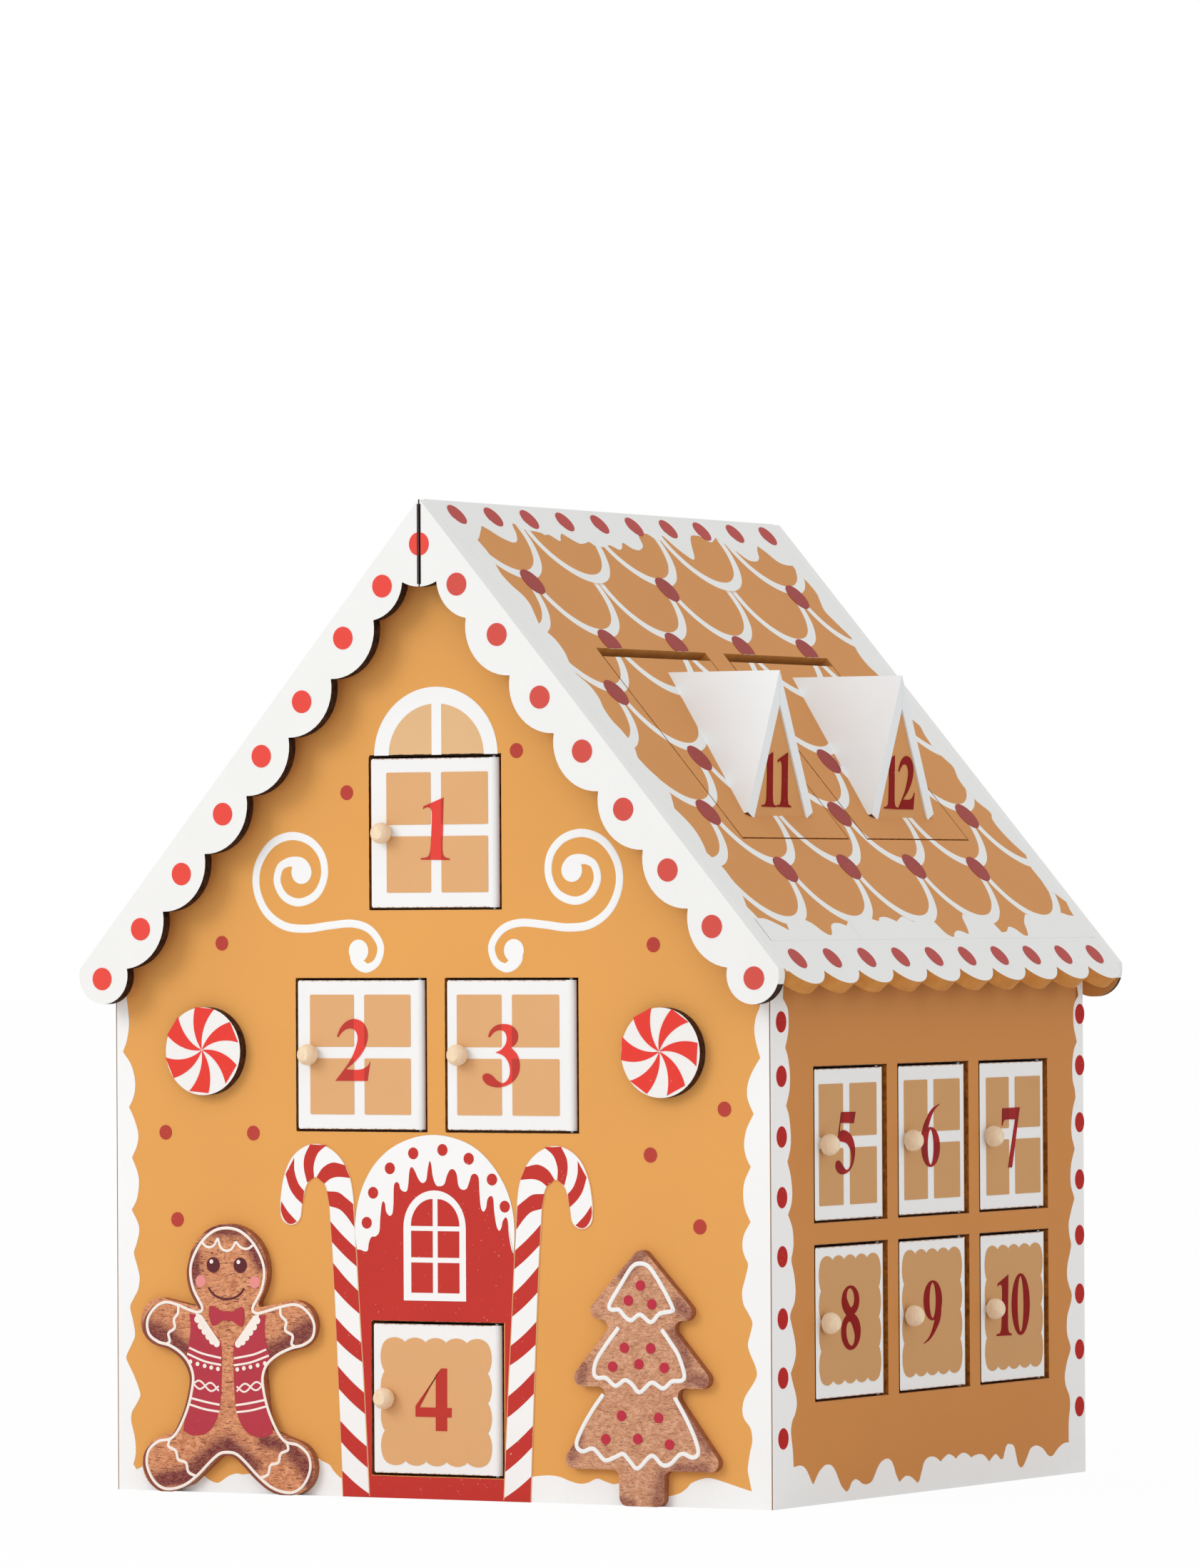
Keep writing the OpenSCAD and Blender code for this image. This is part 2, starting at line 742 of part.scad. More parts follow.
// Board under one side edge of a roof flap, cut to the roof's slope and clear of the hinge
module flap_partition() {
    x1 = attic_wall_x + board_t / 2 + glue;
    z1 = attic_floor_z + glue;
    x2 = attic_half - glue;
    difference() {
        translate([0, board_t / 2, 0])
            rotate([90, 0, 0])
                linear_extrude(board_t)
                    polygon([[x1, z1], [x2, z1], [x2, under_roof(x2) - glue], [x1, under_roof(x1) - glue]]);
        on_roof()
            translate([flap_pin_s, -board_t, -edge_r])
                rotate([-90, 0, 0]) cylinder(r = flap_swing_r + swing_room, h = 2 * board_t);
    }
}

// Upright boards that divide the inside into twenty-four compartments
module partitions() {
    depth = inner_y - glue;
    color(raw_board) {
        on_body() {
            for (side = [-1, 1]) {
                long_board(side * spine_x, -depth, depth, panel_t + glue, attic_floor_z - board_t - glue);
                long_board(side * attic_wall_x, -depth, depth, attic_floor_z + glue, attic_wall_top);
            }
            cross_board(0, board_t / 2 + glue - spine_x, spine_x - board_t / 2 - glue,
                        panel_t + glue, pair_floor_z - board_t - glue);
            cross_board(0, board_t / 2 + glue - spine_x, spine_x - board_t / 2 - glue,
                        pair_floor_z + glue, attic_floor_z - board_t - glue);
            for (turn = [0, 180])
                rotate(turn) {
                    side_partitions();
                    gable_partitions();
                }
        }
        for (n = roof_flaps, side = [-1, 1])
            at_flap(n) translate([0, side * flap_w / 2, 0]) flap_partition();
    }
}

floor_board();
front_gable();
back_gable();
right_wall();
left_wall();
right_roof();
left_roof();
bargeboards();
shelves();
partitions();
hinge_pins();
glued_ornaments();
for (n = wall_doors) {
    door(n);
    knob(n);
}
for (n = roof_flaps) {
    roof_flap(n);
    dormer(n);
}
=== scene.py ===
# %% [markdown]
# # A painted gingerbread-house advent calendar
# The object is a small wooden house cut from thin sheet. Twenty doors and four roof flaps open on
# compartments. This lesson starts from the finished CAD solids and gives them their looks: paint,
# icing, numerals, burnt laser-cut edges, biscuit prints and turned wooden knobs.
# Every painted line is a thin solid of its own, because paint seen from a hand's width away has
# an edge that catches the light, which a flat picture would not.

# %% Load the frame
import json
import math

import bmesh
import bpy
import numpy as np
from mathutils import Matrix, Vector


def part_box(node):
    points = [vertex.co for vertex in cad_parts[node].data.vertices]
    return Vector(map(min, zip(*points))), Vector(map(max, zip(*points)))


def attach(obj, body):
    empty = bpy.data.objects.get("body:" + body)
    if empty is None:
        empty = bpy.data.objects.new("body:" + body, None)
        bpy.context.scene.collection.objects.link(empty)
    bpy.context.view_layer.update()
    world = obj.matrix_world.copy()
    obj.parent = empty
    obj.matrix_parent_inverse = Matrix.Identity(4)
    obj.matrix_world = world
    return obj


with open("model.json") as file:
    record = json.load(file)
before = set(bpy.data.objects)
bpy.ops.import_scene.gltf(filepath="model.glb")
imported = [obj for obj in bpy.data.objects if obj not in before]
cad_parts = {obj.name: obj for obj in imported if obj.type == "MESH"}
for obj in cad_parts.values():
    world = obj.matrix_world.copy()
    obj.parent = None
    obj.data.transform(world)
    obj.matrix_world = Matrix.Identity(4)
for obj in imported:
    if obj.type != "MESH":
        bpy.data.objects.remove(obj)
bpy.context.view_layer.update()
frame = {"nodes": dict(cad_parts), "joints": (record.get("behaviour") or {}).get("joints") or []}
nodes = frame["nodes"]

# %% [markdown]
# ## Measuring the boards
# The paint is drawn in millimetres on each board, as a painter would lay it out, so the first
# thing needed is where the boards are. They are measured from the CAD solids, never typed.

# %% Where the painted faces are
MM = 0.001
FRONT_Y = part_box("front_gable")[0].y / MM
BACK_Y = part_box("back_gable")[1].y / MM
WALL_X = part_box("right_wall")[1].x / MM
BODY_Y = (FRONT_Y + BACK_Y) / 2
HALF_DEPTH = (BACK_Y - FRONT_Y) / 2
RIDGE_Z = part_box("right_roof")[1].z / MM
BARGE_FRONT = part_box("bargeboards")[0].y / MM
BARGE_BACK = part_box("bargeboards")[1].y / MM
SLOPE = math.radians(49.1)
print(f"front {FRONT_Y:.2f}, back {BACK_Y:.2f}, wall {WALL_X:.2f}, ridge {RIDGE_Z:.2f} mm")

# %% [markdown]
# A board is an origin and three directions: right, up and out of the wood. Points drawn as
# (right, up, out) in millimetres become points of the house by one matrix product.

# %% The boards that carry paint


class Board:
    """A flat face: place() turns (right, up, out) in millimetres into the frame's metres."""

    def __init__(self, origin, right, up, out):
        self.origin = np.array(origin, float)
        self.axes = np.array([right, up, out], float)

    def place(self, points):
        """origin + u right + v up + w out for each point (u, v, w), in metres."""
        return (self.origin + points @ self.axes) * MM

    def moved(self, right, up, out=0.0):
        """The same face with its origin moved along its own directions."""
        return Board(self.origin + np.array([right, up, out]) @ self.axes, *self.axes)


def roof_board(side):
    """A roof slope: up runs towards the ridge, so a place s down the slope is at up = -s."""
    up = [-side * math.cos(SLOPE), 0, math.sin(SLOPE)]
    out = [side * math.sin(SLOPE), 0, math.cos(SLOPE)]
    return Board([0, BODY_Y, RIDGE_Z], [0, side, 0], up, out)


FRONT = Board([0, FRONT_Y, 0], [1, 0, 0], [0, 0, 1], [0, -1, 0])
BACK = Board([0, BACK_Y, 0], [-1, 0, 0], [0, 0, 1], [0, 1, 0])
RIGHT = Board([WALL_X, BODY_Y, 0], [0, 1, 0], [0, 0, 1], [1, 0, 0])
LEFT = Board([-WALL_X, BODY_Y, 0], [0, -1, 0], [0, 0, 1], [-1, 0, 0])
BARGE = {
    "front": Board([0, BARGE_FRONT, 0], [1, 0, 0], [0, 0, 1], [0, -1, 0]),
    "back": Board([0, BARGE_BACK, 0], [-1, 0, 0], [0, 0, 1], [0, 1, 0]),
}
print("foot of the front's middle, in metres:", FRONT.place(np.zeros(3)).round(4))

# %% [markdown]
# ## Shapes from formulas
# A painter's line is smooth, with a sharp turn only where the brush stopped. It could be drawn
# point by point, but a smooth curve through a few points needs far fewer numbers, and its points
# can be moved one at a time until the shape is right.

# %% Smooth curves through a few points
CORNER = None


def curve(points, per=8, loop=False):
    """Catmull-Rom curve through the points: cubic pieces whose slope at each point is half the
    step between its neighbours. Any number of columns, so widths can ride along with places."""
    p = np.asarray(points, float)
    if loop:
        p0, p1, p2, p3 = np.roll(p, 1, 0), p, np.roll(p, -1, 0), np.roll(p, -2, 0)
    else:
        p = np.vstack([2 * p[0] - p[1], p, 2 * p[-1] - p[-2]])
        p0, p1, p2, p3 = p[:-3], p[1:-2], p[2:-1], p[3:]
    t = (np.arange(per) / per)[None, :, None]
    p0, p1, p2, p3 = (q[:, None, :] for q in (p0, p1, p2, p3))
    cubic = -p0 + 3 * p1 - 3 * p2 + p3
    square = 2 * p0 - 5 * p1 + 4 * p2 - p3
    made = (2 * p1 + (p2 - p0) * t + square * t**2 + cubic * t**3) / 2
    made = made.reshape(-1, p.shape[1])
    return made if loop else np.vstack([made, p[-2]])


def edge(points, per=6):
    """An open edge: smooth curves through the points, broken at each CORNER, which makes the
    point before it sharp."""
    runs = [[]]
    for point in points:
        if point is CORNER:
            runs.append(runs[-1][-1:])
        else:
            runs[-1].append(point)
    made = [curve(run, per if len(run) > 2 else 1)[:-1] for run in runs if len(run) > 1]
    return np.vstack([*made, [points[-1] if points[-1] is not CORNER else points[-2]]])


def outline(points, per=6):
    """The same for a closed outline."""
    return edge([*points, points[0]], per)[:-1]


def circle(u, v, r, count=28):
    """Points at equal angles round (u, v)."""
    a = np.linspace(0, 2 * np.pi, count, endpoint=False)
    return np.stack([u + r * np.cos(a), v + r * np.sin(a)], axis=1)


print("a curve through 3 points has", len(curve([(0, 0), (1, 1), (2, 0)])), "points")

# %% [markdown]
# All painted shapes are lofts: a closed ring of points is carried from station to station and the
# rings are skinned with quads. A line of icing is a low rounded profile carried along a curve, a
# dot is a circle carried upwards by the thickness of the paint, and a border is a strip between
# two edges. Whole arrays are worked out at once, so there is no loop over points.

# %% Skins over rings of points
PAINT = 0.12
SUNK = -0.05


def loft(stations, loop=False):
    """Skin over closed rings: quad (i, j) joins points j and j + 1 of ring i to those of ring
    i + 1. The first and last rings are capped, unless the path comes back to its start."""
    m, k, _ = stations.shape
    i = np.arange(m if loop else m - 1)[:, None]
    j = np.arange(k)[None, :]
    after, beside = (i + 1) % m, (j + 1) % k
    quads = np.stack([i * k + j, i * k + beside, after * k + beside, after * k + j], axis=-1)
    caps = [] if loop else [list(range(k))[::-1], list(range((m - 1) * k, m * k))]
    return stations.reshape(-1, 3), quads.reshape(-1, 4).tolist() + caps


def plate(ring, top=PAINT):
    """A flat painted area: its outline carried from just inside the wood to the paint's top."""
    ring = np.asarray(ring, float)
    return loft(np.stack([np.column_stack([ring, np.full(len(ring), z)]) for z in (SUNK, top)]))


def strip(edge_a, edge_b, top=PAINT, loop=False):
    """A painted band between two edges with equal numbers of points: a four-cornered ring
    (a low, a high, b high, b low) carried along both edges."""
    low, high = np.full(len(edge_a), SUNK), np.full(len(edge_a), top)
    ring = [(edge_a, low), (edge_a, high), (edge_b, high), (edge_b, low)]
    return loft(np.stack([np.column_stack([e, z]) for e, z in ring], axis=1), loop)


def line(path, width, top=PAINT, loop=False):
    """A line of icing: a low rounded profile, square to the path, whose width may vary. Its eight
    points lie across the path at shares of the width, and rise to shares of the height."""
    path = np.asarray(path, float)
    if loop:
        along = np.roll(path, -1, 0) - np.roll(path, 1, 0)
    else:
        along = np.gradient(path, axis=0)
    along /= np.linalg.norm(along, axis=1)[:, None] + 1e-9
    normal = np.stack([-along[:, 1], along[:, 0]], axis=1)
    width = np.broadcast_to(width, len(path))[:, None, None]
    across = np.array([-0.5, -0.5, -0.42, -0.26, 0.26, 0.42, 0.5, 0.5])[None, :, None]
    rise = np.array([0, 0.35, 0.8, 1, 1, 0.8, 0.35, 0])
    flat = path[:, None, :] + normal[:, None, :] * width * across
    height = np.broadcast_to(SUNK + rise * (top - SUNK), flat.shape[:2])[..., None]
    return loft(np.concatenate([flat, height], axis=2), loop)


print("a round dot has", len(plate(circle(0, 0, 1))[1]), "faces")

# %% [markdown]
# Pieces of paint on the same board and body are gathered in one object. Each stroke keeps its own
# colour through the object's material slots, and the normals are worked out once for the whole
# object, since every stroke is a closed shell.

# %% Gathering strokes into one piece
UV_UNIT = 100
LEVEL_STEP = 0.006
LEVELS = 9


class Paintwork:
    """Strokes on one board, joined into one mesh when done() is called. Its UV map holds each
    point's place on the board in units of 100 mm, measured from the place called middle."""

    def __init__(self, board, middle=(0, 0)):
        self.board = board
        self.middle = np.array(middle)
        self.points, self.places, self.faces, self.slots, self.colours = [], [], [], [], []
        self.count = 0

    def add(self, shape, colour):
        """Lays a stroke on the board, raised by a small step that few other strokes share."""
        points, faces = shape
        # Strokes that overlap must not share a level, or their colours would flicker together
        step = LEVEL_STEP * (len(self.points) % LEVELS)
        self.places.append((points[:, :2] - self.middle) / UV_UNIT)
        self.points.append(self.board.place(points + [0, 0, step]))
        self.faces += [[i + self.count for i in face] for face in faces]
        if colour not in self.colours:
            self.colours.append(colour)
        self.slots += [self.colours.index(colour)] * len(faces)
        self.count += len(points)
        return self

    def done(self, name, body, slot):
        """Makes one mesh of all the strokes and lets it ride on the body."""
        mesh = bpy.data.meshes.new(name)
        mesh.from_pydata(np.vstack(self.points).tolist(), [], self.faces)
        mesh.polygons.foreach_set("material_index", self.slots)
        corners = np.empty(len(mesh.loops), int)
        mesh.loops.foreach_get("vertex_index", corners)
        spots = np.vstack(self.places)[corners]
        mesh.uv_layers.new(name="place").data.foreach_set("uv", spots.ravel())
        for colour in self.colours:
            mesh.materials.append(materials[colour])
        work = bmesh.new()
        work.from_mesh(mesh)
        bmesh.ops.recalc_face_normals(work, faces=work.faces)
        work.to_mesh(mesh)
        work.free()
        piece = bpy.data.objects.new(name, mesh)
        bpy.context.scene.collection.objects.link(piece)
        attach(piece, body)
        print(f"{name}: {len(self.points)} strokes, {len(self.faces)} faces")


print("paint stands up to", round(PAINT + LEVEL_STEP * (LEVELS - 1), 3), "mm proud in one layer")

# %% [markdown]
# ## Materials
# A material here is arithmetic on a point's place on the object. To keep that readable, a Field
# wraps a node's output: adding or multiplying Fields adds Math nodes behind the scenes. Patterns
# read Object coordinates, so they stay on the wood when a door swings.

# %% A number that varies over a surface


class Field:
    """One number at every point of a surface; arithmetic on it builds Math nodes."""

    def __init__(self, socket):
        self.socket = socket
        self.tree = socket.id_data

    def math(self, operation, *others, clamp=False):
        """A Math node on this Field and the others."""
        made = self.tree.nodes.new("ShaderNodeMath")
        made.operation = operation
        made.use_clamp = clamp
        for slot, value in zip(made.inputs, (self, *others)):
            if isinstance(value, Field):
                self.tree.links.new(value.socket, slot)
            else:
                slot.default_value = value
        return Field(made.outputs[0])

    def __add__(self, other):
        return self.math("ADD", other)

    def __sub__(self, other):
        return self.math("SUBTRACT", other)

    def __mul__(self, other):
        return self.math("MULTIPLY", other)

    __radd__ = __add__
    __rmul__ = __mul__

    def __rsub__(self, other):
        return self * -1.0 + other

    def __truediv__(self, other):
        return self.math("DIVIDE", other)

    def fold(self, period):
        """Distance to the nearest multiple of the period."""
        return self.math("PINGPONG", period / 2)

    def below(self, limit, soft=0.12):
        """1 where the field is under the limit and 0 above it, over a soft step."""
        return ((self - limit) * (-1.0 / soft)).math("ADD", 0.5, clamp=True)

    def above(self, limit, soft=0.12):
        """The reverse: 1 above the limit."""
        return ((self - limit) * (1.0 / soft)).math("ADD", 0.5, clamp=True)


def length(a, b):
    """Distance from the origin of a point given by two Fields."""
    return (a * a + b * b).math("SQRT")


print("a Field can:", [name for name in vars(Field) if not name.startswith("_")])

# %% [markdown]
# Colours are written as a painter's chart gives them, in sRGB, and turned into the linear light
# that shaders reckon in. Without that step every tan would come out too pale.

# %% Colours


def colour(text):
    """An sRGB colour such as e2a057 as linear red, green, blue and alpha: each share c is divided
    by 12.92 in the darks, and is ((c + 0.055) / 1.055) to the power 2.4 above them."""
    parts = [int(text[i : i + 2], 16) / 255 for i in (0, 2, 4)]
    return [c / 12.92 if c <= 0.04045 else ((c + 0.055) / 1.055) ** 2.4 for c in parts] + [1.0]


WALL_TAN = colour("e7a65b")
# The long walls' tan is darker than the gables': painted shade of the sideways faces
SIDE_TAN = colour("d28e4f")
ROOF_TAN = colour("d6975c")
WHITE = colour("f5f5f4")
print("wall tan in linear light:", np.round(WALL_TAN, 3))

# %% [markdown]
# Every finish here starts in the same way: noise for the uneven coat, a mix of two colours, and a
# bump for the surface. The workbench keeps those steps in one place, so that each finish below is
# only a few lines about its own paint or wood.

# %% A workbench for one material
materials = {}


class Bench:
    """A new material with the nodes that most finishes need."""

    def __init__(self, name):
        self.material = bpy.data.materials.new(name)
        self.material.use_nodes = True
        self.tree = self.material.node_tree
        self.shader = self.tree.nodes["Principled BSDF"]
        self.where = self.tree.nodes.new("ShaderNodeTexCoord")
        materials[name] = self.material

    def axes(self, kind="Object", scale=1 / MM):
        """x, y and z as Fields: of the place in millimetres, or of the Normal at scale 1."""
        split = self.tree.nodes.new("ShaderNodeSeparateXYZ")
        self.tree.links.new(self.where.outputs[kind], split.inputs[0])
        return [Field(s) * scale if scale != 1 else Field(s) for s in split.outputs]

    def noise(self, size, detail=3.0, stretch=(1, 1, 1), rough=0.55):
        """Soft random hills about size millimetres apart, from 0 to 1."""
        mapping = self.tree.nodes.new("ShaderNodeMapping")
        mapping.inputs["Scale"].default_value = stretch
        self.tree.links.new(self.where.outputs["Object"], mapping.inputs["Vector"])
        made = self.tree.nodes.new("ShaderNodeTexNoise")
        made.inputs["Scale"].default_value = 1 / (size * MM)
        made.inputs["Detail"].default_value = detail
        made.inputs["Roughness"].default_value = rough
        self.tree.links.new(mapping.outputs[0], made.inputs["Vector"])
        return Field(made.outputs["Fac"])

    def mix(self, share, a, b):
        """Colour a where share is 0 and colour b where it is 1."""
        made = self.tree.nodes.new("ShaderNodeMix")
        made.data_type = "RGBA"
        for slot, value in ((made.inputs[0], share), (made.inputs[6], a), (made.inputs[7], b)):
            if isinstance(value, Field):
                self.tree.links.new(value.socket, slot)
            elif isinstance(value, bpy.types.NodeSocket):
                self.tree.links.new(value, slot)
            else:
                slot.default_value = value
        return made.outputs[2]

    def vary(self, base, spread=0.07, size=30.0):
        """A colour that drifts a little lighter and darker, as brushed paint does."""
        drift = self.noise(size) * (2 * spread) + (1 - spread)
        made = self.tree.nodes.new("ShaderNodeHueSaturation")
        self.tree.links.new(drift.socket, made.inputs["Value"])
        if isinstance(base, bpy.types.NodeSocket):
            self.tree.links.new(base, made.inputs["Color"])
        else:
            made.inputs["Color"].default_value = base
        return made.outputs[0]

    def done(self, paint, roughness, relief, depth=0.05, sheen=0.5):
        """Wires the colour, the roughness and a bump of depth millimetres into the shader."""
        self.tree.links.new(paint, self.shader.inputs["Base Color"])
        if isinstance(roughness, Field):
            self.tree.links.new(roughness.socket, self.shader.inputs["Roughness"])
        else:
            self.shader.inputs["Roughness"].default_value = roughness
        self.shader.inputs["Specular IOR Level"].default_value = sheen
        bump = self.tree.nodes.new("ShaderNodeBump")
        bump.inputs["Distance"].default_value = depth * MM
        self.tree.links.new(relief.socket, bump.inputs["Height"])
        self.tree.links.new(bump.outputs[0], self.shader.inputs["Normal"])
        return self.material


print("the bench can:", [name for name in vars(Bench) if not name.startswith("_")])

# %% [markdown]
# ### Plain paints
# The numerals, dots and icing lines each have one colour, but no brushed paint is even: it drifts
# in tone, its surface is finely stippled, and a few pinholes let the coat below show through.

# %% Paints for the strokes


def stroke_paint(name, shade, under, spread=0.05, pinholes=0.0):
    """A coat that drifts in tone, with pinholes where fine noise is highest."""
    bench = Bench(name)
    coat = bench.vary(colour(shade), spread, 18.0)
    if pinholes:
        holes = bench.noise(0.7, 2.0).above(1 - pinholes, 0.02)
        coat = bench.mix(holes, coat, colour(under))
    return bench.done(coat, 0.5, bench.noise(0.9, 4.0), 0.03, 0.05)


# Each paint: its colour, the colour under it, how far it drifts, and how many pinholes it has
PAINTS = {
    "white_icing": ("f8f8f7", "e2a057", 0.02),
    "roof_icing": ("eff0ee", "e2a057", 0.02),
    "tree_icing": ("f4f3f1", "c98a60", 0.04),
    "cookie_icing": ("f9efe6", "c98a60", 0.05),
    "pane": ("e2ae7a", "f1efe8", 0.03),
    # side_pane is a darker copy of pane: painted shade of the sideways faces
    "side_pane": ("d2a06c", "f1efe8", 0.03),
    "arch_pane": ("e6bb8b", "f1efe8", 0.03),
    # scorch paints laser burns, and round the door openings also painted shade of the gaps
    "scorch": ("1d110b", "4a2c18", 0.1),
    "worn_board": ("a87045", "6f4526", 0.4),
    "biscuit_rim": ("8a5040", "5f3128", 0.45),
    "cookie_brown": ("623236", "8a5040", 0.08),
    "cheek_pink": ("ea9490", "d08070", 0.06),
    "sugar_red": ("c0384a", "e08a90", 0.08),
    # the right bargeboard's duller red is painted shade: the light falls off towards the right
    "barge_red_right": ("d6574e", "b86b3a", 0.03),
    "roof_edge_red": ("ba524e", "b86b3a", 0.03),
    "barge_red": ("eb5147", "f1d8d0", 0.05, 0.24),
    "roof_red": ("a34a46", "d9a6a0", 0.07, 0.26),
    "wall_dot": ("bc483f", "e2a057", 0.06, 0.24),
    "side_dot": ("ba2522", "e2a057", 0.07, 0.28),
    "front_ink": ("c03d34", "dca080", 0.05, 0.24),
    # side_ink is front_ink darkened as painted shade of the sideways faces
    "side_ink": ("8e0f0c", "dca080", 0.06, 0.24),
    "door_red": ("c63c35", "f1d8d0", 0.05, 0.25),
    "candy_red": ("e9443b", "f1d8d0", 0.05, 0.24),
    "vest_red": ("b8404c", "c87060", 0.08, 0.28),
}
for name, finish in PAINTS.items():
    stroke_paint(name, *finish)
print("paints for strokes:", len(materials))

# %% [markdown]
# The printed numerals are see-through ink: where one crosses a pane it lies on tan and looks
# darker than where it crosses the white glazing bars. The ink reads its own place on the door from
# the UV map, and asks whether a pane lies under it.

# %% Ink for the numerals on windows
# Where the panes' sides lie on a front door and on a side door, and their feet and tops on both
PANES = {"front": [(-19.6, -2.6), (1.4, 19.2)], "side": [(-20.8, -4.3), (0.2, 18.7)]}
PANE_HEIGHTS = [(-19.7, -1.2), (2.6, 19.8)]


def between(place, spans):
    """1 where the place lies in one of the spans."""
    share = None
    for low, high in spans:
        inside = place.above(low, 0.2) * place.below(high, 0.2)
        share = inside if share is None else share + inside
    return share


def window_ink(name, panes, on_white, on_tan):
    """See-through ink: one colour over the white glazing bars and another over the tan panes."""
    bench = Bench(name)
    u, v = bench.axes("UV", UV_UNIT)[:2]
    on_pane = between(u, panes) * between(v, PANE_HEIGHTS)
    shade = bench.mix(on_pane, colour(on_white), colour(on_tan))
    return bench.done(bench.vary(shade, 0.05, 18.0), 0.5, bench.noise(0.9, 4.0), 0.03, 0.1)


window_ink("front_window_ink", PANES["front"], "e8473e", "c23f37")
# The side doors' ink is the front's, darkened as painted shade of the long walls
window_ink("side_window_ink", PANES["side"], "a6110f", "8f0e0b")
print("panes of a front door run from", PANES["front"][0][0], "to", PANES["front"][1][1], "mm")

# %% [markdown]
# ### Painted sheet with laser-cut edges
# Each board is painted on its outer face only. Its cut edges are scorched by the laser, and its
# inner face is bare board. Which of the three a point belongs to is read from the direction it
# faces: a board's outer face points out, its edges point sideways.

# %% A board's three surfaces


def bare_board(bench):
    """Unpainted board: fine fibres, a little darker and lighter."""
    fibre = bench.noise(1.4, 4.0, (1, 1, 0.35))
    return bench.mix(fibre, colour("a87f55"), colour("c9a273"))


def scorched(bench, dark, light):
    """A laser-cut edge: brown, with near-black scorch that comes and goes."""
    scorch = bench.noise(2.6, 4.0, (1, 1, 1), 0.7).above(0.5, 0.3)
    return bench.mix(scorch, colour(dark), colour(light))


def sheet_material(name, facing, coat, cut, limit=0.5):
    """coat on faces where facing is over the limit, the colour cut where it is near 0, bare board
    where it is near -1. facing, coat and cut are functions of the bench."""
    bench = Bench(name)
    out = facing(bench)
    surface = bench.mix(out.above(-0.5, 0.02), bare_board(bench), cut(bench))
    surface = bench.mix(out.above(limit, 0.02), surface, coat(bench))
    return bench.done(surface, 0.62, bench.noise(1.1, 5.0), 0.035, 0.08)


print("materials before the boards:", len(materials))

# %% [markdown]
# Which way is out depends on the board: along the depth for gables, along the width for walls,
# square to the slope for the roof. Each test multiplies the face's direction by the side of the
# house that it is on, so one material serves a board and its twin on the other side.

# %% Which faces point out


def facing_y(bench):
    """1 on faces that point away from the middle of the house along its depth."""
    turned = bench.axes("Normal", 1)[1]
    side = (bench.axes()[1] - BODY_Y).math("SIGN")
    return turned * side


def facing_x(bench):
    """The same along its width."""
    turned = bench.axes("Normal", 1)[0]
    return turned * bench.axes()[0].math("SIGN")


def facing_roof(bench):
    """1 on faces that point out of either roof slope."""
    x, _, z = bench.axes("Normal", 1)
    return x * bench.axes()[0].math("SIGN") * math.sin(SLOPE) + z * math.cos(SLOPE)


print("a roof face points", round(math.sin(SLOPE), 3), "across and", round(math.cos(SLOPE), 3), "up")

# %% [markdown]
# The walls are tan and the doors white. Where hands and boxes rub them, along the upright corners,
# the paint is worn through to the board.

# %% Painted walls and doors
CORNER_WEAR = 0.4


def tan_coat(bench):
    """Tan paint, worn through to the burnt board along the house's upright corners."""
    worn = bench.axes()[0].math("ABSOLUTE") + bench.noise(4.0) * 0.5
    worn = worn.above(WALL_X - CORNER_WEAR + 0.25, 0.3)
    return bench.mix(worn, bench.vary(WALL_TAN, 0.045, 45.0), colour("94745a"))


def side_coat(bench):
    """The long walls' tan, darker than the gables' tan as painted shade."""
    return bench.vary(SIDE_TAN, 0.045, 45.0)


def white_coat(bench):
    """White paint, hardly drifting."""
    return bench.vary(WHITE, 0.025, 20.0)


def wall_edge(bench):
    """Edges of the walls: brown to golden."""
    return scorched(bench, "86491a", "c97c2e")


def door_edge(bench):
    """Edges of the gable doors: brown, and nearly black as painted shade of their gaps."""
    return scorched(bench, "2f1a0e", "8f5526")


def door_side_edge(bench):
    """Edges of the side doors: brown to golden brown, lighter than the gable doors' edges as painted
    light in their gaps.
    """
    return scorched(bench, "5a3214", "a9662c")


sheet_material("gable_paint", facing_y, tan_coat, wall_edge)
sheet_material("wall_paint", facing_x, side_coat, wall_edge)

# The side doors' paint stops where the edge begins to round, so their limit is high
sheet_material("door_paint_y", facing_y, white_coat, door_edge, 0.3)
sheet_material("door_paint_x", facing_x, white_coat, door_side_edge, 0.99)
print("corners are worn over", CORNER_WEAR, "mm")

# %% [markdown]
# ### The roof's pattern
# The roof is painted all over with rows of overlapping scales, drawn in icing, with red dots where
# scales meet, and it goes on across the flaps. Drawing it as one formula is the way to keep the
# lines running from the roof onto the flaps. With s the distance down the slope and y the distance
# along the ridge, each row of scales is half circles, and every second row is moved by half a step.

# %% Scales, dots and bands of icing on the roof
SCALE_PITCH = 45.4
SCALE_ROW = 25.2
SCALE_TALL = 22.1
SCALE_NARROW = 1.06
SCALE_FIRST = 10.3
SCALE_Y = 3.5


def roof_places(bench):
    """s down the slope and y along the ridge, in millimetres from the middle of the body."""
    x, y, z = bench.axes()
    down = x.math("ABSOLUTE") * math.cos(SLOPE) - (z - RIDGE_Z) * math.sin(SLOPE)
    return down, (y - BODY_Y) * x.math("SIGN")


def scale_lines(s, y, first, shift):
    """Half ovals that hang from the level first, repeated along y and down s. Along an oval of
    half height R the length of (across, down) is R; the line is where it differs from R by less
    than half the line's width, which grows towards the bottom."""
    across = (y - shift).fold(SCALE_PITCH) * SCALE_NARROW
    down = (s - (first - 3.0)).math("WRAP", 0.0, 2 * SCALE_ROW) - 3.0
    off = (length(across, down) - SCALE_TALL).math("ABSOLUTE")
    return off.below(down * 0.016 + 1.6) * down.above(-1.0, 2.0)


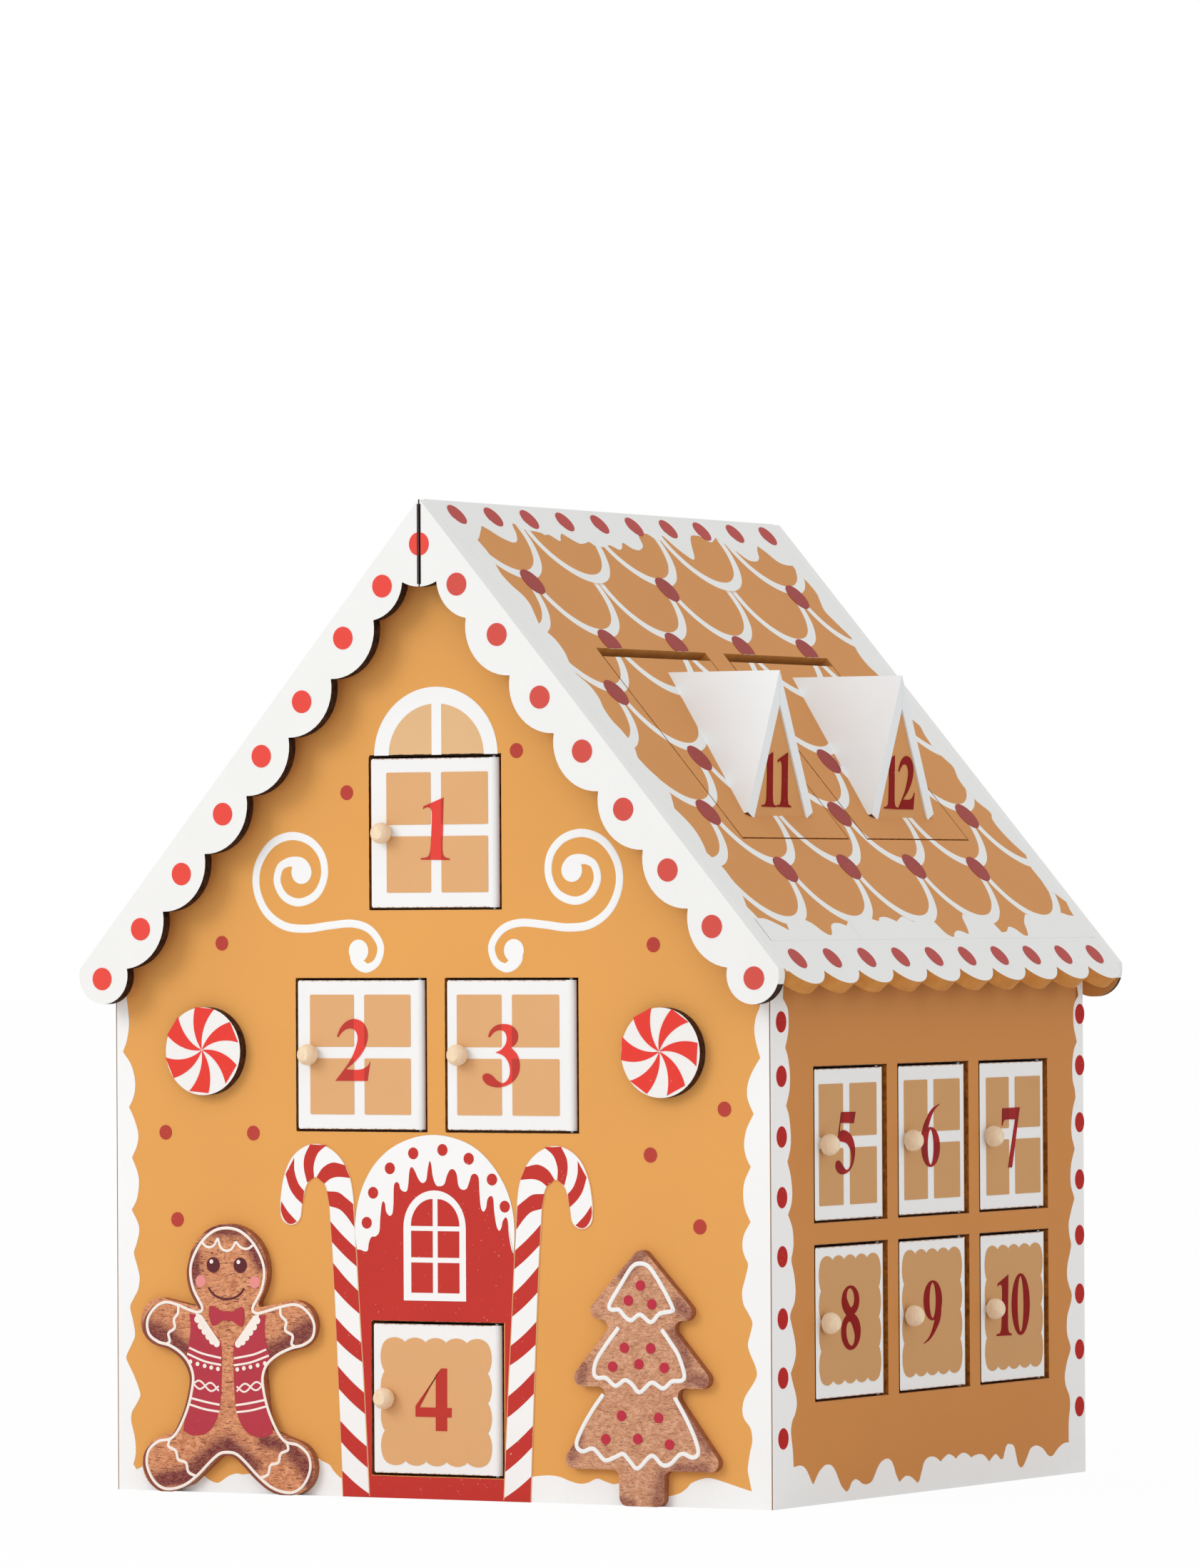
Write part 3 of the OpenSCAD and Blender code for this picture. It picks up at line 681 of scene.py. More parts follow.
def roof_coat(bench):
    """Tan where the share is 0 and icing where it is 1. The share is the most that any of these
    gives: two sets of scales, and a band along the ridge, the eave and both rakes."""
    s, y = roof_places(bench)
    y = y + bench.noise(9.0, 1.0) * 0.6 - 0.3
    share = scale_lines(s, y, SCALE_FIRST, SCALE_Y)
    second = scale_lines(s, y, SCALE_FIRST + SCALE_ROW, SCALE_Y + SCALE_PITCH / 2)
    for band in (second, s.below(8.4), s.above(191.6), y.below(-110.7), y.above(118.1)):
        share = share.math("MAXIMUM", band)
    tan = bench.vary(ROOF_TAN, 0.045, 40.0)
    return bench.mix(share, tan, bench.vary(colour("eff0ee"), 0.02, 18.0))


def eave_edge(bench):
    """Edges of the roof: golden, mottled by a coarse noise."""
    return bench.mix(bench.noise(5.0, 3.0), colour("c07a38"), colour("e3a258"))


def flap_edge(bench):
    """Edges of the flaps: brown to golden, scorched."""
    return scorched(bench, "7a451c", "c98442")


sheet_material("roof_paint", facing_roof, roof_coat, eave_edge)
sheet_material("flap_paint", facing_roof, roof_coat, flap_edge)
print("scales across the roof:", round(2 * HALF_DEPTH / SCALE_PITCH, 1))

# %% [markdown]
# ### Bargeboards and dormers
# The bargeboards are white on their faces and on the edge that lies in the roof's plane, and dark
# where the laser cut their scallops. Seen from behind, between roof and wall, they are bare.

# %% Bargeboards


def barge_facing(bench):
    """1 on the faces and on the edge that continues the roof, 0 on the cut scallops."""
    x, y, z = bench.axes("Normal", 1)
    upward = x * bench.axes()[0].math("SIGN") * math.sin(SLOPE) + z * math.cos(SLOPE)
    return y.math("ABSOLUTE").math("MAXIMUM", upward)


def burnt_edge(bench):
    """Near black, but only brown on the inner part of the two boards at the back."""
    inner = bench.axes()[1].above(0.0, 1.0) * bench.axes()[1].below(BARGE_BACK - 1.5, 1.0)
    return bench.mix(inner, scorched(bench, "17100d", "4a2e20"), colour("a8703a"))


def barge_coat(bench):
    """White, with bare board on the sides that face the house."""
    hidden = facing_y(bench).below(-0.5, 0.02)
    return bench.mix(hidden, bench.vary(colour("f1f1ef"), 0.025, 20.0), colour("cf9355"))


sheet_material("barge_paint", barge_facing, barge_coat, burnt_edge)
print("bargeboards from", round(BARGE_FRONT, 1), "to", round(BARGE_BACK, 1), "mm")

# %% [markdown]
# A dormer is one CAD node of three boards, so its material has to tell them apart: the face board
# points outwards, as the slopes' ends do, but it stands a little behind them.

# %% Dormers
DORMER_RECESS = 0.6


def dormer_material():
    """Tan on the face board, dark under the boards, white on all the rest."""
    bench = Bench("dormer_paint")
    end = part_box("dormer_11")[1].x / MM
    x = bench.axes()[0].math("ABSOLUTE")
    turned = bench.axes("Normal", 1)
    outward = turned[0] * bench.axes()[0].math("SIGN")
    face = outward.above(0.8, 0.02) * x.below(end - DORMER_RECESS / 2, 0.05)
    under = turned[2].below(-0.5, 0.02)
    white = bench.vary(colour("f1f5f7"), 0.03, 22.0)
    coat = bench.mix(under, white, scorched(bench, "3a2013", "7a4a26"))
    coat = bench.mix(face, coat, bench.vary(colour("d89c60"), 0.05, 14.0))
    return bench.done(coat, 0.6, bench.noise(1.1, 5.0), 0.035, 0.15)


dormer_material()

# %% [markdown]
# ### Bare wood and wire
# The knobs are turned from pale wood, whose rings run across the head. The boards inside were
# never painted, and the pins are plain steel wire, the only metal here.

# %% Knob wood, pins and raw board


def knob_material():
    """Turned wood: two tones mixed by a fine noise that is four times as long as it is wide."""
    bench = Bench("knob_wood")
    grain = bench.noise(1.1, 3.0, (1, 1, 0.25))
    coat = bench.mix(grain, colour("ebc79a"), colour("ffeed4"))
    return bench.done(coat, 0.5, grain, 0.03, 0.3)


def raw_material():
    """Bare board, rougher than any paint."""
    bench = Bench("raw_board")
    return bench.done(bare_board(bench), 0.75, bench.noise(0.8, 4.0), 0.04, 0.25)


def wire_material():
    """Steel wire: metallic, with a fine grey mottle."""
    bench = Bench("pin_steel")
    bench.shader.inputs["Metallic"].default_value = 1.0
    coat = bench.mix(bench.noise(0.6, 2.0), colour("8d9093"), colour("c8cacc"))
    return bench.done(coat, 0.35, bench.noise(0.3, 2.0), 0.01)


knob_material()
raw_material()
wire_material()
print("materials with the bare ones:", len(materials))

# %% [markdown]
# ### Biscuit
# The two cookies carry a print of baked dough: ruddy brown, speckled, cracked, and darker where an
# oven browns it first. The dark places are not round spots. They run along the arms, the legs and
# the branches, so each one is a line with a soft reach, and the nearest line decides.

# %% Where the biscuits are browned
MAN_X = -79.6
TREE_X = 78.3
# Lines from (right, up) to (right, up), counted from the middle of each one's foot, and how far the
# brown reaches from them
BROWNED_MAN = [
    (-31, 53.5, -22, 50, 6.5), (-22, 50, -15.5, 46.5, 5), (15.5, 46.5, 23, 49.8, 5),
    (24, 49.8, 31.5, 55, 6), (-27, 3.5, -15, 5.5, 5), (-14, 7, -4.5, 13.8, 5.5), (-4.5, 14.5, 0, 16, 5),
    (0, 16, 9.5, 9.5, 5), (14, 18, 20, 16.5, 4), (24, 15.5, 30.5, 9.5, 5), (31, 10, 31.5, 4, 3.5),
    (-13, 79, -12.5, 71, 4), (9, 83.5, 13.5, 76, 4), (-7, 87.5, 6, 87.5, 4),
]
BROWNED_TREE = [
    (0.6, 81.8, -6.5, 74.3, 3.5), (13.5, 65.5, 18, 62, 4), (12, 56.3, 15.6, 51.3, 3.5),
    (15.6, 51.3, 17, 46.5, 3.5), (17.8, 42, 23.5, 40.5, 4), (-21.5, 44.5, -22.5, 40.5, 3.5),
    (14.9, 33.3, 19.2, 28.4, 3.5), (19.2, 28.4, 25, 19.7, 4), (13.5, 12, 23, 12.5, 4),
    (-23.6, 22.1, -26, 15.5, 3.5), (8, 9.7, 6, 1.5, 4.5), (-7, 1.5, -4, 0.5, 3),
]


def near_line(x, z, ends, reach):
    """1 beside the line between two places, 0 past 1.3 times the reach. The nearest point of the
    line is at the share t of its length: the place's distance along it, held from 0 to 1."""
    u0, v0, u1, v1 = ends
    du, dv = u1 - u0, v1 - v0
    across, up = x - u0, z - v0
    t = ((across * du + up * dv) / (du * du + dv * dv)).math("ADD", 0.0, clamp=True)
    return (length(across - t * du, up - t * dv) / -reach).math("ADD", 1.3, clamp=True)


def browned(x, z):
    """How far a place is browned: the most that any line gives."""
    most = None
    for middle, bands in ((MAN_X, BROWNED_MAN), (TREE_X, BROWNED_TREE)):
        beside = x - middle
        for *ends, reach in bands:
            near = near_line(beside, z, ends, reach)
            most = near if most is None else most.math("MAXIMUM", near)
    return most


print("browned lines:", len(BROWNED_MAN), "on the man and", len(BROWNED_TREE), "on the tree")

# %% [markdown]
# Cookies and candies are one CAD node, so one material finishes all four. It asks where a point
# is: left or right for the dough's tone, high up for the candies' white face.

# %% The glued ornaments
CANDY_FOOT = 115.0


def printed_material():
    """Biscuit on the cookies' faces, white on the candies' faces, and cut edges on all four. Crumb,
    grain and crack are noises of falling size: the dough's mottle, its specks and its cracks."""
    bench = Bench("printed_wood")
    x, _, z = bench.axes()
    out = bench.axes("Normal", 1)[1] * -1.0
    tree = x.above(0.0, 1.0)
    crumb = bench.noise(2.2, 5.0, (1, 1, 1.6), 0.7)
    light = bench.mix(tree, colour("eeaa7e"), colour("e4b08e"))
    dark = bench.mix(tree, colour("c97f57"), colour("c48a66"))
    dough = bench.mix(crumb.above(0.5, 0.3), dark, light)
    grain = bench.noise(0.75, 3.0, (0.8, 1, 2.0), 0.6)
    dough = bench.mix(grain.above(0.57, 0.1) * 0.55, dough, colour("965840"))
    crack = bench.noise(1.5, 3.0, (0.5, 1, 2.9), 0.72)
    dough = bench.mix(crack.above(0.60, 0.05) * (tree * -0.45 + 0.9), dough, colour("66322a"))
    brown = browned(x, z)
    patchy = brown * brown * (crumb * 0.8 + grain * 1.6 - 0.2) * (tree * -0.27 + 0.87)
    dough = bench.mix(patchy.math("MULTIPLY", 1.0, clamp=True), dough, colour("713236"))
    candy = z.above(CANDY_FOOT, 1.0)
    face = bench.mix(candy, dough, bench.vary(colour("f4f2ef"), 0.03))
    biscuit_edge = bench.mix(bench.noise(2.0, 4.0), colour("7d4630"), colour("bd7c54"))
    cut = bench.mix(candy, biscuit_edge, scorched(bench, "1f120e", "5a3423"))
    coat = bench.mix(out.above(0.5, 0.02), cut, face)
    return bench.done(coat, 0.6, crack * -0.6 + grain * -0.3 + crumb * 0.3, 0.2, 0.15)


printed_material()
print("nodes in the biscuit material:", len(materials["printed_wood"].node_tree.nodes))

# %% [markdown]
# ## Dressing the CAD solids
# The solids are right as they are, so each keeps its mesh and gets only a material. A node's name
# says what it is, and its number says which wall it hangs in: the back half of the house is the
# front half turned round, with twelve added to each number.

# %% Give every CAD node its finish
FINISH = {
    "floor_board": "raw_board", "shelves": "raw_board", "partitions": "raw_board",
    "front_gable": "gable_paint", "back_gable": "gable_paint",
    "right_wall": "wall_paint", "left_wall": "wall_paint",
    "right_roof": "roof_paint", "left_roof": "roof_paint",
    "bargeboards": "barge_paint", "hinge_pins": "pin_steel", "glued_ornaments": "printed_wood",
}
KINDS = {"knob": "knob_wood", "roof_flap": "flap_paint", "dormer": "dormer_paint"}
FRONT_DOORS = (1, 2, 3, 4)
HALF_TURN = 12


def twin(number):
    """The number of the door or flap, from 1 to 12, of which this one is the turned twin."""
    return number - HALF_TURN if number > HALF_TURN else number


def on_gable(number):
    """Whether a door hangs in a gable, and not in a long wall."""
    return twin(number) in FRONT_DOORS


for name, node in nodes.items():
    kind, _, number = name.rpartition("_")
    if kind == "door":
        finish = "door_paint_y" if on_gable(int(number)) else "door_paint_x"
    else:
        finish = FINISH.get(name) or KINDS[kind]
    for slot in node.material_slots:
        slot.material = materials[finish]
print("materials:", len(materials))

# %% [markdown]
# ## Numerals
# The numbers are the heart of an advent calendar. They are in the old bookish style, with thick
# upright strokes, hairlines and round ends. A figure's outline was laid out in millimetres on the
# door that carries it, as runs of smooth curve between sharp corners. The round counters of 0, 6, 8
# and 9 are bands between two ovals, because an outline cannot have a hole.

# %% The outline of each figure
# Each figure: the middle and the foot of the place where it was laid out, and its parts
FIGURES = {
    "0": (62.6, 49, [
        ("band", (62.6, 59.2, 6.6, 10.4, 0), (62.5, 59.3, 2.3, 9.4, 0)),
    ]),
    "1": (0, 209.5, [
        ("outline", [
            (3.3, 230), CORNER, (2.8, 216), (2.9, 212), (3.7, 210.5), (5.5, 210), CORNER,
            (5.5, 209.5), CORNER, (-5.5, 209.7), CORNER, (-5.5, 210.2), CORNER, (-3, 210.6),
            (-2, 212.2), (-1.5, 217), (-1.2, 224), (-1.5, 226.2), (-2.9, 226.9), (-4.6, 226.3),
            CORNER, (-4.4, 227.2), CORNER,
        ]),
    ]),
    "2": (-32, 136.9, [
        ("outline", [
            (-37.9, 151.6), (-36.6, 154.2), (-34.5, 156.3), (-31.5, 157.3), (-28.5, 156.5),
            (-26.6, 154.5), (-26, 151.8), (-26.7, 148.8), (-28.6, 145.8), (-31.5, 142.9),
            (-34.6, 140.7), CORNER, (-30.5, 140.5), (-27.8, 140.9), (-26, 142), (-25.1, 143.3),
            CORNER, (-26.2, 136.9), CORNER, (-38.6, 136.9), CORNER, (-36.3, 139.4), (-33, 143.4),
            (-30.9, 147.2), (-29.9, 150.7), (-30.5, 153.1), (-32.2, 154.1), (-34.4, 153.9),
            (-36.3, 152.6), (-37.4, 151.2), CORNER,
        ]),
    ]),
    "3": (24.75, 135.2, [
        ("outline", [
            (20, 151.8), (21.1, 153.9), (23.3, 155.4), (26.2, 155.8), (29, 155.2), (31, 153.4),
            (31.3, 151), (30.3, 149.2), (28.6, 148.1), CORNER, (30.8, 146), (31.9, 143.2),
            (31.6, 140), (29.8, 137.4), (27, 135.8), (23.5, 135.1), (20, 135.8), (18.1, 137.4),
            (17.9, 138.8), (18.9, 139.6), (20.4, 139.5), (21.8, 138.7), (23.4, 137.3), (25.3, 136.5),
            (27.1, 137.4), (28.2, 139.6), (28, 142.5), (26.6, 144.8), (24.6, 146), (22.8, 146.5),
            CORNER, (24.9, 147.4), (26.6, 149.2), (27.1, 151.3), (26.3, 153.2), (24.6, 153.8),
            (22.4, 153.2), (20.5, 151.4), CORNER,
        ]),
    ]),
    "4": (-1.5, 22.5, [
        ("outline", [
            (-0.7, 22.5), CORNER, (3.6, 22.5), CORNER, (3.7, 43), CORNER, (1.5, 43), CORNER,
            (-0.6, 40.8), CORNER,
        ]),
        ("outline", [(-8.4, 27), CORNER, (5.3, 27), CORNER, (5.4, 30.1), CORNER, (-8.4, 30.1), CORNER]),
        ("outline", [
            (1.6, 43), CORNER, (-8.4, 30.5), CORNER, (-8.4, 29), CORNER, (-6.9, 30), CORNER,
            (-0.5, 40.6), CORNER,
        ]),
    ]),
    "5": (-61.25, 106.7, [
        ("outline", [
            (-64.2, 126.9), CORNER, (-54.4, 126.8), CORNER, (-55.6, 123.1), CORNER, (-64.7, 123.4),
            CORNER, (-65.3, 120.5), CORNER, (-63, 121), (-60, 120.5), (-57, 118.8), (-55.2, 116),
            (-55, 113), (-56.2, 110), (-58.6, 107.8), (-61.5, 106.8), (-64.5, 106.7), (-67, 107.6),
            (-68.2, 109.2), (-67.8, 110.7), (-66.5, 111.2), (-65, 110.8), (-63.3, 109.5),
            (-61.2, 108.1), (-59, 108.3), (-57.7, 110), (-57.4, 112.5), (-58.1, 114.8), (-60, 116.5),
            (-63, 117.2), (-66.4, 117.6), CORNER, (-66.6, 118.6), CORNER,
        ]),
    ]),
    "6": (-2, 107, [
        ("band", (-2.1, 113.6, 6.5, 6.6, 0), (-2, 113.6, 2.3, 5.9, 0)),
        ("stroke", [
            (4.3, 127.7, 0.2), (0.2, 126, 1.2), (-3.2, 123, 2.6), (-5.9, 119, 4.1), (-6.5, 114, 4.2),
        ]),
    ]),
    "7": (56, 105.4, [
        ("outline", [
            (49.9, 125.4), CORNER, (62.7, 125.5), CORNER, (62, 123.4), CORNER, (56.8, 105.4), CORNER,
            (54, 105.4), CORNER, (56.3, 112), (59.5, 121.5), CORNER, (53.5, 121.6), (51, 121.2),
            (50, 119.6), CORNER, (49.5, 119.7), CORNER,
        ]),
    ]),
    "8": (-58.8, 49, [
        ("band", (-58.9, 65, 6, 4.9, 0), (-58.9, 65.9, 2.6, 3.2, 20)),
        ("band", (-58.7, 54.9, 6.6, 6, 0), (-59, 54.2, 2.8, 4.1, 20)),
        ("stroke", [
            (-63, 65.5, 3.6), (-61.6, 62.9, 4.4), (-58.4, 60.1, 3.6), (-55.6, 57.4, 4.4),
            (-54.4, 54.5, 3.8),
        ]),
    ]),
}
print("figures laid out:", " ".join(FIGURES))

# %% [markdown]
# A nine is a six turned upside down. It could have points of its own, but made from the six's parts
# the two stay alike, also when a point of the six is moved.

# %% A nine from a six


def upside_down(kind, *shape):
    """A part after half a turn about the origin: its places change sign, while the half widths and
    the lean of its ovals, or the width of its stroke, stay."""
    if kind == "band":
        return (kind, *[(-u, -v, *rest) for u, v, *rest in shape])
    return (kind, [(-u, -v, width) for u, v, width in shape[0]])


FIGURES["9"] = (2, -127.6, [upside_down(*part) for part in FIGURES["6"][2]])
print("parts of the nine:", [part[0] for part in FIGURES["9"][2]])

# %% [markdown]
# A number is written figure by figure, and the pen moves on by a fixed step, less for the narrow
# one. The ink is a little thicker than the panes that it crosses, so it stays on top of them.

# %% Writing a number
FIGURE_TALL = 20.6
FIGURE_STEP = 13.0
NARROW_STEP = {"1": 11.5}
INK_TOP = 2.2 * PAINT


def oval(u, v, half_u, half_v, lean):
    """An upright oval turned by lean degrees: with a the lean, its point (x, y) goes to
    (x cos a - y sin a, x sin a + y cos a), and then to its place."""
    ring = circle(0, 0, 1, 40) * [half_u, half_v]
    a = math.radians(lean)
    return ring @ np.array([[math.cos(a), math.sin(a)], [-math.sin(a), math.cos(a)]]) + [u, v]


def figure_part(kind, shape, move, size, centre):
    """An outline, a band or a stroke of a figure: moved, scaled by size and put at centre."""

    def put(points):
        return (points + move) * size + centre

    if kind == "outline":
        return plate(put(outline(shape[0])), INK_TOP)
    if kind == "band":
        outer, inner = (put(oval(*one)) for one in shape)
        return strip(outer, inner, INK_TOP, loop=True)
    path = curve(shape[0])
    return line(put(path[:, :2]), path[:, 2] * size, INK_TOP)


def write_number(work, number, centre, tall, ink):
    """Draws a number with its middle at centre, each figure a step to the right of the last."""
    figures = str(number)
    steps = [NARROW_STEP.get(figure, FIGURE_STEP) for figure in figures]
    left = -sum(steps) / 2
    for figure, step in zip(figures, steps):
        middle, foot, parts = FIGURES[figure]
        move = np.array([left + step / 2 - middle, -foot - FIGURE_TALL / 2])
        left += step
        for kind, *shape in parts:
            work.add(figure_part(kind, shape, move, tall / FIGURE_TALL, centre), ink)


print("two figures take", 2 * FIGURE_STEP, "mm; the ink is", round(INK_TOP, 3), "mm thick")

# %% [markdown]
# ## Doors
# Two kinds of door take turns: windows with four panes, and white doors with a scalloped tan
# panel. Each painting rides with its own door, so it is laid out from that door's middle. The
# middle is found from the hinge, whose pin is a fixed distance inside the door's right edge.

# %% The middle of each door
HINGE_RIGHT = 21.35
DOOR_BOARDS = {}
for joint in frame["joints"]:
    if joint["name"].startswith("door"):
        number = int(joint["name"].split("_")[1])
        walls = (FRONT, BACK) if on_gable(number) else (RIGHT, LEFT)
        board = walls[number > HALF_TURN]
        pin = board.axes @ (np.array(joint["pos_m"]) / MM - board.origin)
        DOOR_BOARDS[number] = board.moved(pin[0] - HINGE_RIGHT, pin[1])
print("doors found by their hinges:", len(DOOR_BOARDS))

# %% [markdown]
# The prints were laid on by hand, and no two sit alike. A few tenths of a millimetre tell a made
# thing from a drawn one, so each print and each number has a shift of its own.

# %% How far each print is off its door's middle
PRINT_SHIFT = {
    1: (0.9, 0.1), 2: (-0.3, 0), 3: (-1.3, 0), 4: (-0.8, -0.9), 5: (-0.9, -0.2), 7: (0.8, -0.2),
    8: (-1.1, 0.6), 9: (-1.6, 0.6), 10: (-0.5, 0),
}
NUMBER_SHIFT = {
    1: (0, 1.3), 2: (-3.5, 1.7), 3: (-4.2, -0.1), 4: (-1.7, 0), 5: (-3.8, 0.4), 6: (-2.3, 1.1),
    7: (-2.4, -0.6), 8: (-1, 0.9), 9: (-1.6, 0.7), 10: (-1.6, 0.7),
}
NUMBER_PLACE = (-1.5, 0.6)
print("the number of door 3 lies", abs(NUMBER_SHIFT[3][0]), "mm left of the middle")

# %% [markdown]
# A pane is a rectangle with blunt corners. A panel's sides are rows of shallow arcs, and a power of
# a sine gives all of them without a single typed point.

# %% Panes and panels
PANEL_HALF_W = 19.7
PANEL_HALF_H = 19.5


def rectangle(u, v, corner=0.35):
    """A rectangle with its corners cut off a little, anticlockwise."""
    (u0, u1), (v0, v1), c = u, v, corner
    return np.array([(u0 + c, v0), (u1 - c, v0), (u1, v0 + c), (u1, v1 - c),
                     (u1 - c, v1), (u0 + c, v1), (u0, v1 - c), (u0, v0 + c)])


def scalloped_panel(half_w, half_h, across=5, upwards=4, bulge=1.5):
    """A rectangle whose sides are rows of shallow arcs. With t the share of the side's length, a
    point stands out by bulge times the 0.7th power of |sin(pi n t)|, for n arcs."""
    t = np.linspace(0, 1, 12 * across, endpoint=False)
    wave = bulge * np.abs(np.sin(np.pi * across * t)) ** 0.7
    bottom = np.stack([half_w * (2 * t - 1), -half_h - wave], axis=1)
    t = np.linspace(0, 1, 12 * upwards, endpoint=False)
    wave = bulge * np.abs(np.sin(np.pi * upwards * t)) ** 0.7
    side = np.stack([half_w + wave, half_h * (2 * t - 1)], axis=1)
    return np.vstack([bottom, side, -bottom, -side])


print("points round a panel:", len(scalloped_panel(PANEL_HALF_W, PANEL_HALF_H)))

# %% [markdown]
# Along its top and bottom a door rubs in the opening, and its paint is chipped. The chips' width is
# the product of two sines of unlike lengths, so it doesn't repeat along a door or between doors.

# %% Painting the doors
LEAF_HALF = 24.5
PANELLED = (4, 8, 9, 10)
worn_u = np.linspace(-23.5, 20.5, 120)


def chipped_edge(number, v):
    """Bare board along the door's edge at height v, 0.03 to 0.23 mm wide."""
    chips = np.abs(np.sin(1.7 * worn_u + number) * np.sin(0.61 * worn_u + 2 * number + v))
    rim = np.stack([worn_u, np.full(len(worn_u), v)], axis=1)
    return strip(rim, rim + np.outer(0.03 + 0.2 * chips, [0, -np.sign(v)]))


for number, board in sorted(DOOR_BOARDS.items()):
    place = "front" if on_gable(number) else "side"
    # side doors take the darker side pane and ink: painted shade of the long walls
    pane = "pane" if on_gable(number) else "side_pane"
    shift = np.array(PRINT_SHIFT.get(number, (0.0, 0.0)))
    work = Paintwork(board, shift)
    if twin(number) in PANELLED:
        ink = f"{place}_ink"
        work.add(plate(scalloped_panel(PANEL_HALF_W, PANEL_HALF_H) + shift), pane)
    else:
        ink = f"{place}_window_ink"
        for u in PANES[place]:
            for v in PANE_HEIGHTS:
                work.add(plate(rectangle(u, v) + shift), pane)
    write_number(work, number, NUMBER_SHIFT.get(number, NUMBER_PLACE), FIGURE_TALL, ink)
    for v in (LEAF_HALF, -LEAF_HALF):
        work.add(chipped_edge(number, v), "worn_board")
    work.done(f"door_{number}_painting", f"door_{number}", "door_paint")

# %% [markdown]
# A dark rim is painted round each opening. It is partly the laser's burn and partly painted shade of
# the gap round the door, which is darkest at the top, so the line is widest there. The rims belong
# to the wall, and stay when a door opens.

# %% Burnt rims and painted gap shade round the door openings
HALF_OPENING = 25.15
RIM_TOP = 0.1
# How wide the rim is above, beside and below the door
RIM_WIDTHS = {1: (0.6, 0.3, 0.15), 2: (0.15, 0.25, 0.2), 3: (0.15, 0.25, 0.2), 4: (0.3, 0.25, 0.15)}
PLAIN_RIM = (0.3, 0.05, 0.15)
rim_t = np.linspace(-HALF_OPENING, HALF_OPENING, 60)
for number, board in sorted(DOOR_BOARDS.items()):
    above, beside, below = RIM_WIDTHS.get(twin(number), PLAIN_RIM)
    wobble = 0.08 * np.sin(0.9 * rim_t + number) + 0.06 * np.sin(2.3 * rim_t)
    work = Paintwork(board)
    for width, across in ((above, True), (-below, True), (-beside, False)):
        start = np.full(len(rim_t), HALF_OPENING * np.sign(width))
        end = start + width + wobble * width
        lines = [np.stack([rim_t, q] if across else [q, rim_t], axis=1) for q in (start, end)]
        # scorch paint here is the laser's burn and painted shade of the gap round the door
        work.add(strip(*lines, RIM_TOP), "scorch")
    paint = "gable_paint" if on_gable(number) else "wall_paint"
    work.done(f"opening_{number}_rim_and_gap_shade", "house", paint)

# %% [markdown]
# The roof flaps have their numbers on the dormers, a little smaller. The face is measured from the
# dormer's box, and the number rides with the flap.

# %% Numbers on the dormers
DORMERS = (11, 12, 23, 24)
DORMER_NUMBER_TALL = 18.2
DORMER_NUMBER_PLACE = (-1.9, 12.6)


def side_of(number):
    """1 on the right and the front, -1 on the half that is turned round."""
    return -1 if number > HALF_TURN else 1


for number in DORMERS:
    low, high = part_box(f"dormer_{number}")
    side = side_of(number)
    end = max(abs(low.x), abs(high.x)) / MM - DORMER_RECESS
    middle = (low.y + high.y) / 2 / MM
    face = Board([side * end, middle, low.z / MM], [0, side, 0], [0, 0, 1], [side, 0, 0])
    work = Paintwork(face)
    # side_ink, the darkened red of the long walls, is painted shade on the dormers' sideways faces too
    write_number(work, number, DORMER_NUMBER_PLACE, DORMER_NUMBER_TALL, "side_ink")
    work.done(f"flap_{number}_number", f"flap_{number}", "roof_paint")

# %% [markdown]
# ## Bargeboards
# The two bargeboards meet in an upright seam. It is found from the corner points that lie on the
# middle of the house, so that the dark line and the dot across it land where the boards meet.

# %% The seam between the bargeboards


def points_of(name):
    """The corner points of a CAD node in millimetres, one row for each."""
    mesh = nodes[name].data
    places = np.empty(len(mesh.vertices) * 3)
    mesh.vertices.foreach_get("co", places)
    return places.reshape(-1, 3) / MM


places = points_of("bargeboards")
seam_z = places[np.abs(places[:, 0]) < 0.6][:, 2]
SEAM_LOW, SEAM_HIGH = seam_z.min(), seam_z.max()
print("seam from", SEAM_LOW.round(1), "to", SEAM_HIGH.round(1), "mm")

# %% [markdown]
# A red dot marks each scallop. The one at the top lies across the seam, and is two half dots, so that
# the seam stays open between them. The right board's dots are a duller red than the left's: painted
# shade, as the light falls off towards the right.

# %% Dots on the bargeboards
BARGE_DOTS = [
    (14.22, 299.46), (29.39, 282.71), (45.44, 262.04), (61.24, 244.3), (76.47, 225.31),
    (92.79, 205.57), (109.02, 187.32), (124.35, 170.74),
]
BARGE_DOT_R = 3.75
TOP_DOT_Z = 312.95
SEAM_HALF = 0.3
SEAM_TOP = 0.2
turn = np.linspace(-np.pi / 2, np.pi / 2, 18)
for end, board in BARGE.items():
    work = Paintwork(board)
    for u, v in BARGE_DOTS:
        # the right board's dots take the duller red, painted shade
        for side, shade in ((-1, "barge_red"), (1, "barge_red_right")):
            work.add(plate(circle(side * u, v, BARGE_DOT_R)), shade)
    for side in (-1, 1):
        seam = np.array([[0.32, SEAM_LOW + 0.8], [0.32, SEAM_HIGH - 1.5]]) * [side, 1]
        work.add(strip(seam, seam + [0.3 * side, 0], SEAM_TOP), "scorch")
        beside = SEAM_HALF + (BARGE_DOT_R - SEAM_HALF) * np.cos(turn)
        half = np.stack([side * beside, TOP_DOT_Z + BARGE_DOT_R * np.sin(turn)], axis=1)
        work.add(plate(half), "barge_red")
    work.done(f"bargeboard_dots_{end}", "house", "white_paint")

# %% [markdown]
# ## Icing on the roof
# The bands of icing round the roof were run on by hand, so each side has its own edge, read off in
# millimetres along the board: smooth drips between sharp corners where a scale's line crosses.
# Places down the slope count from the ridge, and the board counts upwards, so their sign changes.

